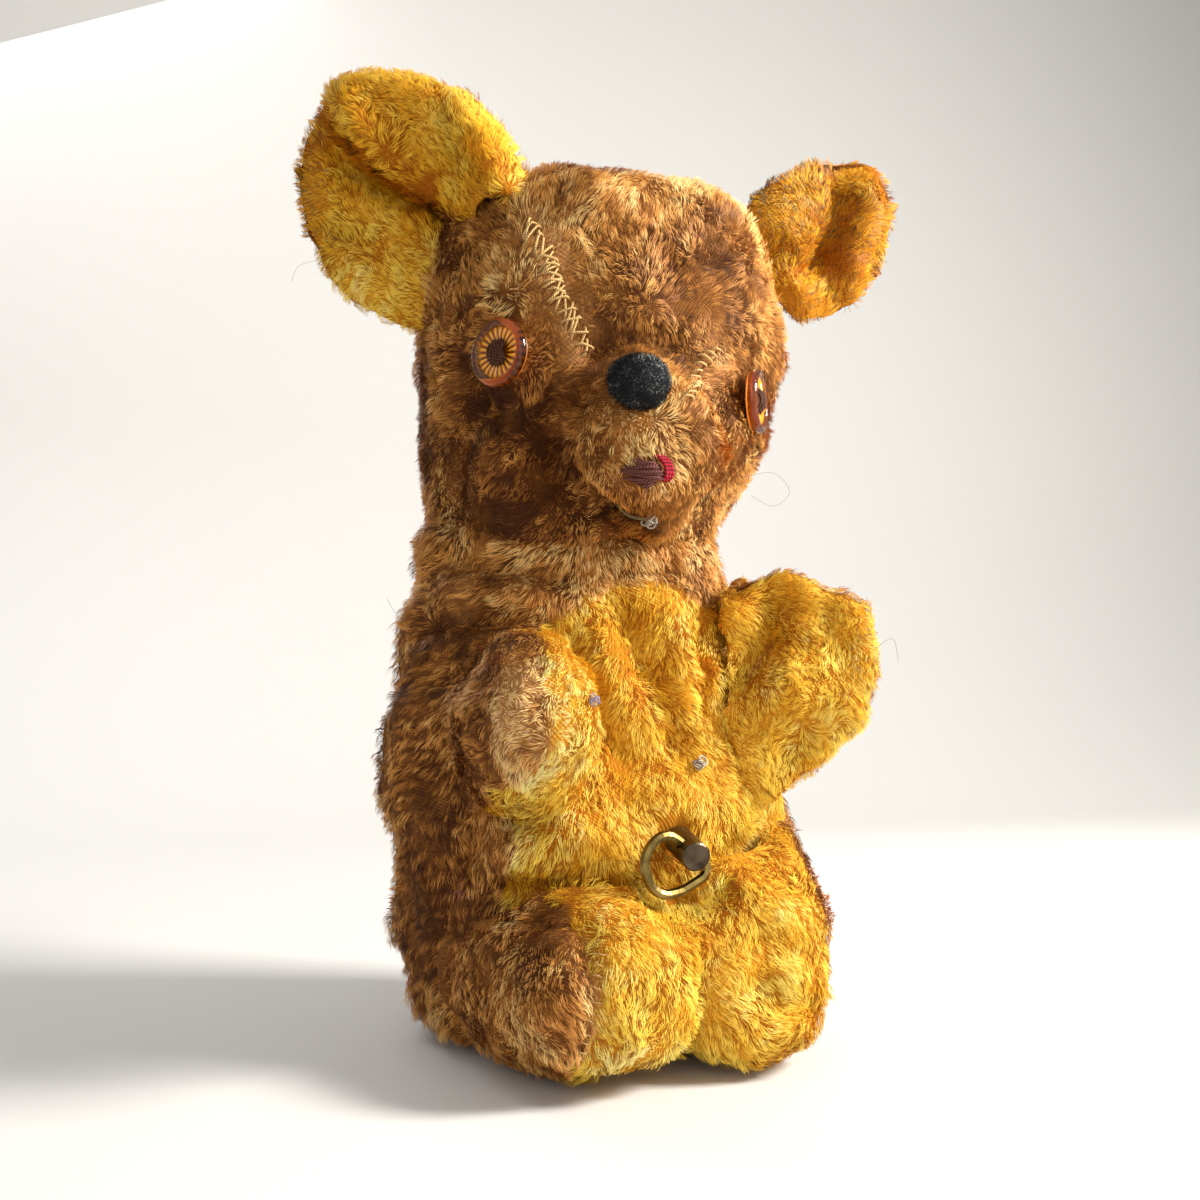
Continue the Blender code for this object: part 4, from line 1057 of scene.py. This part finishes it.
def height_of(tree, group, amount):
    """The height that a group gives for an amount."""
    made = node_in(tree, "Group")
    made.node_tree = group
    made.inputs[0].default_value = amount
    return made.outputs[0]


def bump(tree, height, strength, distance):
    """A bump from a height, into the tree's shader. Distance is in mm."""
    made = node_in(tree, "Bump", Strength=strength, Distance=distance * MM, Height=height)
    tree.links.new(made.outputs[0], tree.nodes["Principled BSDF"].inputs["Normal"])


def noise(tree, scale, **sockets):
    """Patchy noise from 0 to 1."""
    return node_in(tree, "TexNoise", Scale=scale, **sockets).outputs[0]

# %% The backing material
backing, tree, surface = principled("woven_backing", (0.3, 0.2, 0.1), 0.95, Specular_IOR_Level=0.15)
dye = node_in(tree, "VertexColor")
dye.layer_name = "dye"
crossings = height_of(tree, weave, 760.0)
# Painted shade where the weave's threads dip and painted light where they cross over.
weave_painted_light_and_shade = ramp(tree, calc(tree, "MULTIPLY_ADD", crossings, 0.5), (0, 0.68), (1, 1.1))
tree.links.new(multiplied(tree, dye.outputs["Color"], weave_painted_light_and_shade), surface["Base Color"])
bump(tree, crossings, 0.6, 0.25)

for skin in skins.values():
    skin.data.materials.append(backing)

# %% [markdown]
# ## Thread
#
# The eyes, mouth, mends and knots are all thread. A thread is a tube through a few places, round in section,
# with closed ends. Its map runs round it and along it, so that one group of nodes can twist every kind of
# thread, whatever its dye.

# %% Tubes
def tubes(name, routes, radius, sides=6, thin=0.0):
    """One mesh of closed tubes. A route is an array of places in metres. Thin narrows the ends."""
    spots, faces, places = [], [], []
    for route in routes:
        route = np.asarray(route, float)
        along = unit(np.gradient(route, axis=0))
        side = unit(np.cross(along, (0.31, 0.17, 0.93)))
        other = np.cross(along, side)
        share = np.linspace(0, 1, len(route))
        girth = radius * (1 - thin * (2 * share - 1) ** 2)
        turns = np.linspace(0, 2 * math.pi, sides, endpoint=False)
        first = len(spots)
        for middle, across, up, thick in zip(route, side, other, girth):
            spots += [middle + thick * (across * math.cos(t) + up * math.sin(t)) for t in turns]
        far = np.concatenate([[0], np.cumsum(np.linalg.norm(np.diff(route, axis=0), axis=1))]) / MM
        for ring in range(len(route) - 1):
            for k in range(sides):
                a, b = first + ring * sides + k, first + ring * sides + (k + 1) % sides
                faces.append((a, b, b + sides, a + sides))
                places += [(k / sides, far[ring]), ((k + 1) / sides, far[ring]),
                           ((k + 1) / sides, far[ring + 1]), (k / sides, far[ring + 1])]
        last = first + (len(route) - 1) * sides
        faces += [tuple(range(first + sides - 1, first - 1, -1)), tuple(range(last, last + sides))]
        places += [(0.5, 0.0)] * sides + [(0.5, far[-1])] * sides
    mesh = bpy.data.meshes.new(name)
    mesh.from_pydata([tuple(spot) for spot in spots], [], faces)
    layer = mesh.uv_layers.new(name="along")
    layer.data.foreach_set("uv", np.array(places, np.float32).ravel())
    mesh.polygons.foreach_set("use_smooth", [True] * len(faces))
    return new_object(name, mesh)


def curved(places, steps=8):
    """A smooth route through a few places, as an array."""
    places = np.asarray(places, float)
    padded = np.vstack([2 * places[0] - places[1], places, 2 * places[-1] - places[-2]])
    route = []
    for a, b, c, d in zip(padded, padded[1:], padded[2:], padded[3:]):
        for t in np.linspace(0, 1, steps, endpoint=False):
            route.append(0.5 * ((2 * b) + (c - a) * t + (2 * a - 5 * b + 4 * c - d) * t**2
                                + (3 * b - a - 3 * c + d) * t**3))
    return np.vstack([route, places[-1]])

# %% The twist group and thread materials
twist, plies, height = new_group("thread_twist", "Turns per mm", 1.2)
route_map = node_in(twist, "UVMap")
route_map.uv_map = "along"
around = node_in(twist, "SeparateXYZ", route_map.outputs["UV"]).outputs
winding = calc(twist, "MULTIPLY", around["Y"], plies)
turn = calc(twist, "ADD", winding, calc(twist, "MULTIPLY", around["X"], 2.0))
twist.links.new(calc(twist, "SINE", calc(twist, "MULTIPLY", turn, FULL_TURN)), height)


def thread_material(name, dark, light, turns):
    """A twisted thread: painted shade between its plies and painted light on them, and patchy in its dye."""
    material, tree, surface = principled(name, light, 0.75, Specular_IOR_Level=0.25)
    twisted = height_of(tree, twist, turns)
    # Painted shade in the grooves between the plies and painted light on the plies.
    ply_painted_light_and_shade = ramp(tree, calc(tree, "MULTIPLY_ADD", twisted, 0.4), (0.1, dark), (0.75, light))
    patchy = ramp(tree, noise(tree, 900), (0.3, 0.7), (0.7, 1.15))
    tree.links.new(multiplied(tree, ply_painted_light_and_shade, patchy), surface["Base Color"])
    bump(tree, twisted, 0.6, 0.15)
    return material


# Each thread's dark colour is painted shade between its plies, and its light colour painted light on them.
THREADS = {  # dark, light, turns in a mm
    "maroon_thread": ((44, 16, 14), (142, 84, 74), 1.4), "red_thread": ((104, 8, 24), (196, 34, 56), 1.0),
    "dark_thread": ((30, 14, 8), (104, 64, 42), 1.3), "straw_thread": ((190, 140, 76), (244, 206, 138), 1.6),
    "white_thread": ((120, 112, 100), (224, 214, 196), 1.6),
    "olive_thread": ((96, 84, 54), (168, 152, 108), 1.6),
    "lilac_fluff": ((120, 112, 150), (196, 188, 216), 1.6),
}
threads = {
    name: thread_material(name, linear(*dark), linear(*light), turns)
    for name, (dark, light, turns) in THREADS.items()
}
print(len(threads), "threads")


def on_bear(piece, replaces=None):
    """The piece rides on the bear and, where it is named, stands for a node, which is hidden."""
    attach(piece, "bear")
    if replaces:
        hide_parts(replaces)


def sewn(name, routes, radius, dyed, replaces=None, **shape):
    """Thread on the bear: its tubes and dye."""
    piece = tubes(name, routes, radius * MM, **shape)
    piece.data.materials.append(threads[dyed])
    on_bear(piece, replaces)

# %% [markdown]
# ## Button eyes
#
# The eyes are coat buttons of see-through amber: a clear rounded rim stands round a dished middle, and fine
# flutes run out from the middle like the rays of an iris. Each is a ring of amber with the flutes cut in its
# face, under a clear body that is turned from one profile. The clear body bends the light over the flutes,
# which is what makes such a button look wet and deep. The flutes are also painted lighter on their ridges, as
# painted light, and darker in their grooves, partly the amber's own lines and partly painted shade, and the
# ring is darker towards the middle. Both eyes are sewn on with dark brown thread.

# %% A place on the face
AMBER_DEEP, AMBER_BRIGHT, AMBER_RIM = linear(96, 26, 0), linear(255, 172, 36), linear(150, 62, 12)


def placed(place, out):
    """A 4x4 whose Z points out of the bear at a place in mm, and whose Y points up."""
    out = Vector(out)
    across = Vector((0, 0, 1)).cross(out).normalized()
    turn = Matrix((across, out.cross(across), out)).transposed().to_4x4()
    return Matrix.Translation(Vector(place) * MM) @ turn


def turned_piece(name, profile, place, steps):
    """A closed piece spun from a profile of (radius, height) in mm that starts and ends on its axis."""
    mesh = bpy.data.meshes.new(name)
    edges = [(i, i + 1) for i in range(len(profile) - 1)]
    mesh.from_pydata([(r * MM, 0, h * MM) for r, h in profile], edges, [])
    piece = new_object(name, mesh)
    pick(piece)
    bpy.ops.object.mode_set(mode="EDIT")
    bpy.ops.mesh.select_all(action="SELECT")
    bpy.ops.mesh.spin(steps=steps, angle=2 * math.pi, center=(0, 0, 0), axis=(0, 0, 1))
    bpy.ops.mesh.select_all(action="SELECT")
    bpy.ops.mesh.remove_doubles(threshold=0.005 * MM)
    bpy.ops.mesh.normals_make_consistent(inside=False)
    bpy.ops.object.mode_set(mode="OBJECT")
    bpy.ops.object.shade_smooth()
    piece.data.transform(place)
    return piece

# %% Clear bodies and amber flutes
FLUTES = 22
AROUND = 48  # steps round a plain button part
CLEAR_PROFILE = [
    (0, 0.5), (7.8, 0.5), (8.7, 0.7), (9.15, 1.2), (9.25, 1.8), (9.1, 2.6), (8.6, 3.2), (7.9, 3.4),
    (7.3, 3.2), (6.9, 2.6), (6.7, 1.8), (6.4, 1.2), (0, 1.2),
]
AMBER_PROFILE = [
    (0, 1.0), (6.3, 1.0), (6.8, 1.3), (6.9, 2.1), (6.6, 2.5), (5.6, 2.5), (4.4, 2.3), (3.2, 2.0), (2.4, 1.8),
    (0, 1.8),
]
BACK_PROFILE = [(0, 0.05), (8.2, 0.05), (8.5, 0.2), (8.2, 0.4), (0, 0.4)]
STRANDS = 18
amber_back = principled("amber_back", linear(206, 120, 28), 0.4)[0]
clear, tree, surface = principled("clear_amber", (1.0, 0.7, 0.34), 0.04, Transmission_Weight=1.0, IOR=1.4)
tree.links.new(ramp(tree, noise(tree, 700), (0.5, 0.02), (0.8, 0.09)), surface["Roughness"])
amber, tree, surface = principled("amber_flutes", AMBER_BRIGHT, 0.16)
iris = node_in(tree, "VertexColor")
iris.layer_name = "iris"
cloudy = ramp(tree, noise(tree, 1200), (0.35, 0.75), (0.7, 1.2))
tree.links.new(multiplied(tree, iris.outputs["Color"], cloudy), surface["Base Color"])


def make_eye(side):
    """The clear body, the amber ring with its flutes, the back and the thread that holds them."""
    place = placed(*EYES[side])
    body = turned_piece("eye_clear_" + side, CLEAR_PROFILE, place, AROUND)
    back = turned_piece("eye_back_" + side, BACK_PROFILE, place, AROUND)
    ring = turned_piece("eye_amber_" + side, AMBER_PROFILE, Matrix(), FLUTES * 6)
    points = points_of(ring.data)
    radius = np.linalg.norm(points[:, :2], axis=1) / MM
    angle = np.arctan2(points[:, 1], points[:, 0])
    ridge = np.cos(FLUTES * angle) * smooth_step(2.8, 3.8, radius) * smooth_step(6.9, 6.3, radius)
    upper = points[:, 2] > 1.4 * MM
    points[:, 2] += np.where(upper, 0.32 * MM * ridge, 0)
    set_points(ring.data, points)
    # Painted light on the flutes' ridges, and darker grooves that are partly the amber's own lines and partly
    # painted shade; darker towards the middle.
    flute_tone_and_painted_light = np.clip(0.5 + 0.6 * ridge - 0.4 * smooth_step(4.4, 3.2, radius), 0, 1)[:, None]
    colours = np.array(AMBER_DEEP) * (1 - flute_tone_and_painted_light) + np.array(AMBER_BRIGHT) * flute_tone_and_painted_light
    rim = smooth_step(6.5, 6.9, radius)[:, None]
    paint(ring.data, "iris", colours * (1 - rim) + np.array(AMBER_RIM) * rim)
    ring.data.transform(place)
    for piece, material in ((body, clear), (ring, amber), (back, amber_back)):
        piece.data.materials.append(material)
        on_bear(piece, "eye_button_" + side)
    random = np.random.default_rng(7 if side == "right" else 8)
    knot = []
    for strand in range(STRANDS):
        x = random.uniform(-2.5, 2.5)
        lean = random.uniform(-1.1, 1.1)
        half = 3.9 * math.sqrt(1 - (x / 3.4) ** 2) * random.uniform(0.8, 1.05)
        tall = 2.8 + random.uniform(0, 1.4) * (1 - abs(x) / 4)
        local = [(x - lean, -half, 1.7), (x - lean / 2, -half * 0.6, tall), (x, 0, tall + 0.4),
                 (x + lean / 2, half * 0.6, tall), (x + lean, half, 1.7)]
        knot.append(curved([place @ (Vector(spot) * MM) for spot in local], 4))
    sewn("eye_knot_" + side, knot, 0.38, "dark_thread", "eye_thread_" + side)


for side in EYES:
    make_eye(side)
print("eyes with", FLUTES, "flutes each")

# %% [markdown]
# ## The nose
#
# The nose is half a ball of black felt, rubbed grey where it sticks out. Felt is made of short fibres that
# lie every way, so it is grown like the plush, with hairs a millimetre long.

# %% Felt nose
FUZZ = 7000
nose = backing_from("nose", "nose_felt", 1.1 * MM, -0.1 * MM)
refine(nose)
points, normals = points_of(nose.data), normals_of(nose.data)
set_points(nose.data, points + normals * (0.25 * MM * waves(points, 4 * MM, 71))[:, None])
felt, tree, surface = principled("black_felt", linear(20, 20, 22), 0.95, Specular_IOR_Level=0.1)
pills = noise(tree, 1400)
mottle = ramp(tree, pills, (0.35, linear(12, 12, 14)), (0.75, linear(52, 54, 58)))
tree.links.new(mottle, surface["Base Color"])
bump(tree, pills, 0.7, 0.3)
nose.data.materials.append(felt)
RUBBED = [tuple((placed(NOSE_AT, NOSE_OUT) @ (Vector((2.6, 2.4, 6.2)) * MM)) / MM)]
random = np.random.default_rng(72)
roots, normals = scatter(nose, FUZZ, random, lambda places, facing_out: np.ones(len(places)))
lean = unit(random.normal(size=(FUZZ, 3)) + 0.9 * normals)
tips = roots + lean * (random.uniform(0.5, 1.15, FUZZ) * MM)[:, None]
grey = 0.3 + 0.5 * near(roots, RUBBED, 5.0) * random.uniform(0, 1.3, FUZZ) + 0.18 * random.normal(0, 1, FUZZ)
grey = grey + 0.2 * waves(roots, 2 * MM, 73)
fuzz = slivers(
    "nose_fuzz", roots, (roots + tips) / 2 + normals * 0.1 * MM, tips,
    unit(np.cross(lean, random.normal(size=(FUZZ, 3)))), np.full(FUZZ, 0.13 * MM),
    hue_of(np.full(FUZZ, BANDS["felt"]), grey), normals,
)
for piece in (nose, fuzz):
    on_bear(piece, "nose")
print("nose with", FUZZ, "fibres")

# %% [markdown]
# ## The mouth
#
# The mouth is rows of maroon embroidery thread, laid side by side and faded, with a bit of a newer crimson
# thread at one end. Each row is one thread that bows a little, as hand sewing does.

# %% Mouth threads
ROWS, LOOPS = 16, 3
mouth_place = placed(MOUTH_AT, MOUTH_OUT)


def on_muzzle(spot):
    """A spot of the mouth, in mm across and up, with its height over the cover of the head."""
    inwards = mouth_place.to_3x3() @ Vector((0, 0, -1))
    above = mouth_place @ (Vector((spot[0], spot[1], 15)) * MM)
    return TREES["head"].ray_cast(above, inwards)[0] - inwards * spot[2] * MM


random = np.random.default_rng(81)
rows = []
for row in range(ROWS):
    level = -4.6 + 0.42 * row + random.uniform(-0.2, 0.2)
    half = 5.9 - 0.06 * (row - 8) ** 2 + random.uniform(-1.0, 0.4)
    start, end = -half + random.uniform(-0.5, 0.9), half + random.uniform(-0.9, 0.3)
    slope = random.uniform(-0.3, 0.5)
    bow = random.uniform(1.8, 2.9)
    sag = level - slope * 0.5 + random.uniform(-0.2, 0.2)
    local = [(start, level - slope, 0.2), (start * 0.6, sag, bow * 0.8),
             (0, level + random.uniform(-0.3, 0.3), bow), (end * 0.6, level + slope * 0.4, bow * 0.8),
             (end, level + slope, 0.2)]
    rows.append(curved([on_muzzle(spot) for spot in local], 5))
sewn("mouth_threads", rows, 0.34, "maroon_thread", "mouth_stitches", thin=0.3)
loops = []
for loop in range(LOOPS):
    x, rise = 4.1 + 0.75 * loop, random.uniform(-0.3, 0.3)
    local = [(x, -3.0 + rise, 0.6), (x + 0.7, -1.5, 1.7), (x + 0.5, 0.6 + rise, 2.1), (x - 0.6, 2.3, 1.8),
             (x - 2.0, 3.0 + rise, 0.6)]
    loops.append(curved([on_muzzle(spot) for spot in local], 5))
sewn("mouth_red_loops", loops, 0.58, "red_thread", "mouth_red_thread")
print(len(rows), "rows in the mouth")

# %% [markdown]
# ## Mends, knots and strays
#
# The bear was mended by hand. Overcast stitches of a pale thread cross the seam of the head, more hold the
# side of the snout and the neck, and knots show where a thread was tied off. A few loose hairs stand away.

# %% Stitches over a seam
def on_cover(node, place, height):
    """A place in mm moved to the nearest point of a cover and out by a height in mm, and the normal there."""
    at, normal, face, away = TREES[node].find_nearest(Vector(place) * MM)
    return np.array(at + normal * height * MM), np.array(normal)


def overcast(node, seam, count, length, slant, height, seed):
    """Short slanted stitches across a seam: each goes in, over the pile, and in again."""
    random = np.random.default_rng(seed)
    route = curved(seam, 12)
    stitches = []
    for index in np.linspace(0, len(route) - 2, count).astype(int):
        middle, normal = on_cover(node, route[index], height)
        ahead = unit(route[index + 1] - route[index])
        across = unit(np.cross(normal, ahead))
        angle = math.radians(slant + random.uniform(-24, 24))
        way = across * math.cos(angle) + ahead * math.sin(angle)
        half = way * length * random.uniform(0.4, 0.58) * MM
        low = normal * (height + 0.6) * MM
        stitches.append(curved([
            middle - half - 0.6 * low, middle - half * 0.7, middle + normal * 0.3 * MM,
            middle + half * 0.7, middle + half - 0.6 * low,
        ], 3))
    return stitches


SNOUT_SEAM = [(1, -69, 171), (8, -60, 178), (14, -53, 185), (20, -46, 191)]
NECK_FRONT = [(-2, -40, 132), (6, -39, 130), (14, -37, 131)]
MENDS = [  # piece, thread's radius, then rows of: cover, seam, stitches, length, slant, height, seed
    ("head_mends", 0.35, ("head", MENDED_SEAM, 21, 6.6, -42, 2.6, 91),
     ("head", MENDED_SEAM[1:], 10, 5.2, 25, 2.9, 95), ("head", SNOUT_SEAM, 13, 5.0, -50, 2.4, 92)),
    ("neck_mends", 0.22, ("torso", NECK_FRONT, 6, 4.5, -35, 2.4, 93)),
    ("foot_mends", 0.16, ("leg_right", FOOT_SEAM[1:], 11, 2.6, 20, 1.4, 94)),
]
for name, radius, *seams in MENDS:
    stitches = [stitch for seam in seams for stitch in overcast(*seam)]
    sewn(name, stitches, radius, "straw_thread", sides=5)
    print(name, "of", len(stitches), "stitches")

# %% Knots and strays
def tangle(node, place, size, turns, height, seed):
    """A small knot: short loops round one place in mm."""
    random = np.random.default_rng(seed)
    middle, normal = on_cover(node, place, height)
    loops = []
    for turn in range(turns):
        axis = unit(random.normal(size=3) + normal)
        first = unit(np.cross(axis, random.normal(size=3)))
        second = np.cross(axis, first)
        sweep = np.linspace(0, random.uniform(3.5, 5.5), 9)
        wide = size * random.uniform(0.3, 0.55) * MM
        off = random.normal(size=3) * size * 0.12 * MM
        loops.append(middle + off + wide * (np.cos(sweep)[:, None] * first + np.sin(sweep)[:, None] * second))
    return loops


CHIN = [  # height over the head in mm, and the places that a thread under the chin goes through
    (2.0, (-14, -54, 141), (-11, -57, 140.5), (-7, -60, 141)),
    (1.8, (-15, -53, 143), (-11, -57, 142), (-7, -60, 142)),
]
STRAYS = [
    [(29, -38, 157), (37, -42, 158), (42, -42, 153), (38, -40, 149), (32, -38, 152)],
    [(-55, -18, 112), (-63, -20, 117), (-67, -22, 122)],
    [(62, -50, 108), (69, -50, 112), (72, -48, 106)],
    [(-84, 8, 222), (-89, 6, 219), (-91, 5, 214)],
]
sewn("belly_knot", tangle("torso", (12.3, -46.8, 78.4), 3.2, 6, 1.7, 95), 0.3, "white_thread")
sewn("chin_knot", tangle("head", (-6.6, -61, 136), 3.0, 7, 1.6, 96), 0.2, "white_thread")
under_chin = [curved([on_cover("head", spot, height)[0] for spot in spots], 5) for height, *spots in CHIN]
sewn("chin_thread", under_chin, 0.18, "olive_thread", sides=5)
sewn("lilac_fleck", tangle("arm_right", (-27.5, -75.4, 94.3), 2.6, 7, 2.0, 97), 0.16, "lilac_fluff", sides=5)
sewn("loose_hairs", [curved(np.array(spots) * MM, 8) for spots in STRAYS], 0.045, "dark_thread", sides=3)

# %% [markdown]
# ## The key and the movement
#
# The key's loop is bent brass wire, dull and brown with age, with its tarnish coming and going in patches.
# Its post is a turned steel plug, blued once and now scratched. The movement sits inside the belly in a
# tinned can, and its plates, wheels and comb are bright, because no air has reached them.

# %% Metals
def metal(name, dark, light, low, high, scratches, scale=220.0):
    """A metal whose tarnish comes and goes between two colours and two roughnesses."""
    material, tree, surface = principled(name, light, high, Metallic=1.0)
    place = node_in(tree, "TexCoord").outputs["Object"]
    patches = noise(tree, scale, Detail=6, Vector=place)
    tree.links.new(ramp(tree, patches, (0.35, dark), (0.65, light)), surface["Base Color"])
    tree.links.new(ramp(tree, patches, (0.35, high), (0.65, low)), surface["Roughness"])
    stretch = node_in(tree, "Mapping", Vector=place, Scale=(1, 1, 0.08), Rotation=(0.5, 0.9, 0.3))
    bump(tree, noise(tree, 1800, Vector=stretch.outputs[0]), scratches, 0.08)
    return material


METALS = {  # dark, light, shiny, dull, how deep the scratches are, and how fine the patches
    "aged_brass": ((84, 68, 32), (148, 126, 72), 0.26, 0.42, 0.35),
    "gunmetal": ((56, 46, 38), (100, 86, 70), 0.3, 0.45, 0.35),
    "tinplate": ((150, 148, 140), (196, 194, 186), 0.3, 0.45, 0.2, 90),
    "bright_brass": ((176, 142, 70), (214, 184, 108), 0.22, 0.34, 0.15, 120),
    "steel": ((132, 132, 136), (184, 184, 188), 0.22, 0.34, 0.2, 160),
}
metals = {
    name: metal(name, linear(*dark), linear(*light), *rest) for name, (dark, light, *rest) in METALS.items()
}
SLOTS = {row["node"]: row["material_slot"] for row in frame["record"]["subparts"]}
dressed = [node for node in frame["nodes"] if SLOTS[node] in metals]
for node in dressed:
    materials = frame["nodes"][node].data.materials
    materials.clear()
    materials.append(metals[SLOTS[node]])
print(len(dressed), "metal pieces")

# %% Sewing it all together
for node, skin in skins.items():
    on_bear(skin, node)
for (node, *rest), coat in zip(COATS, coats):
    on_bear(coat)
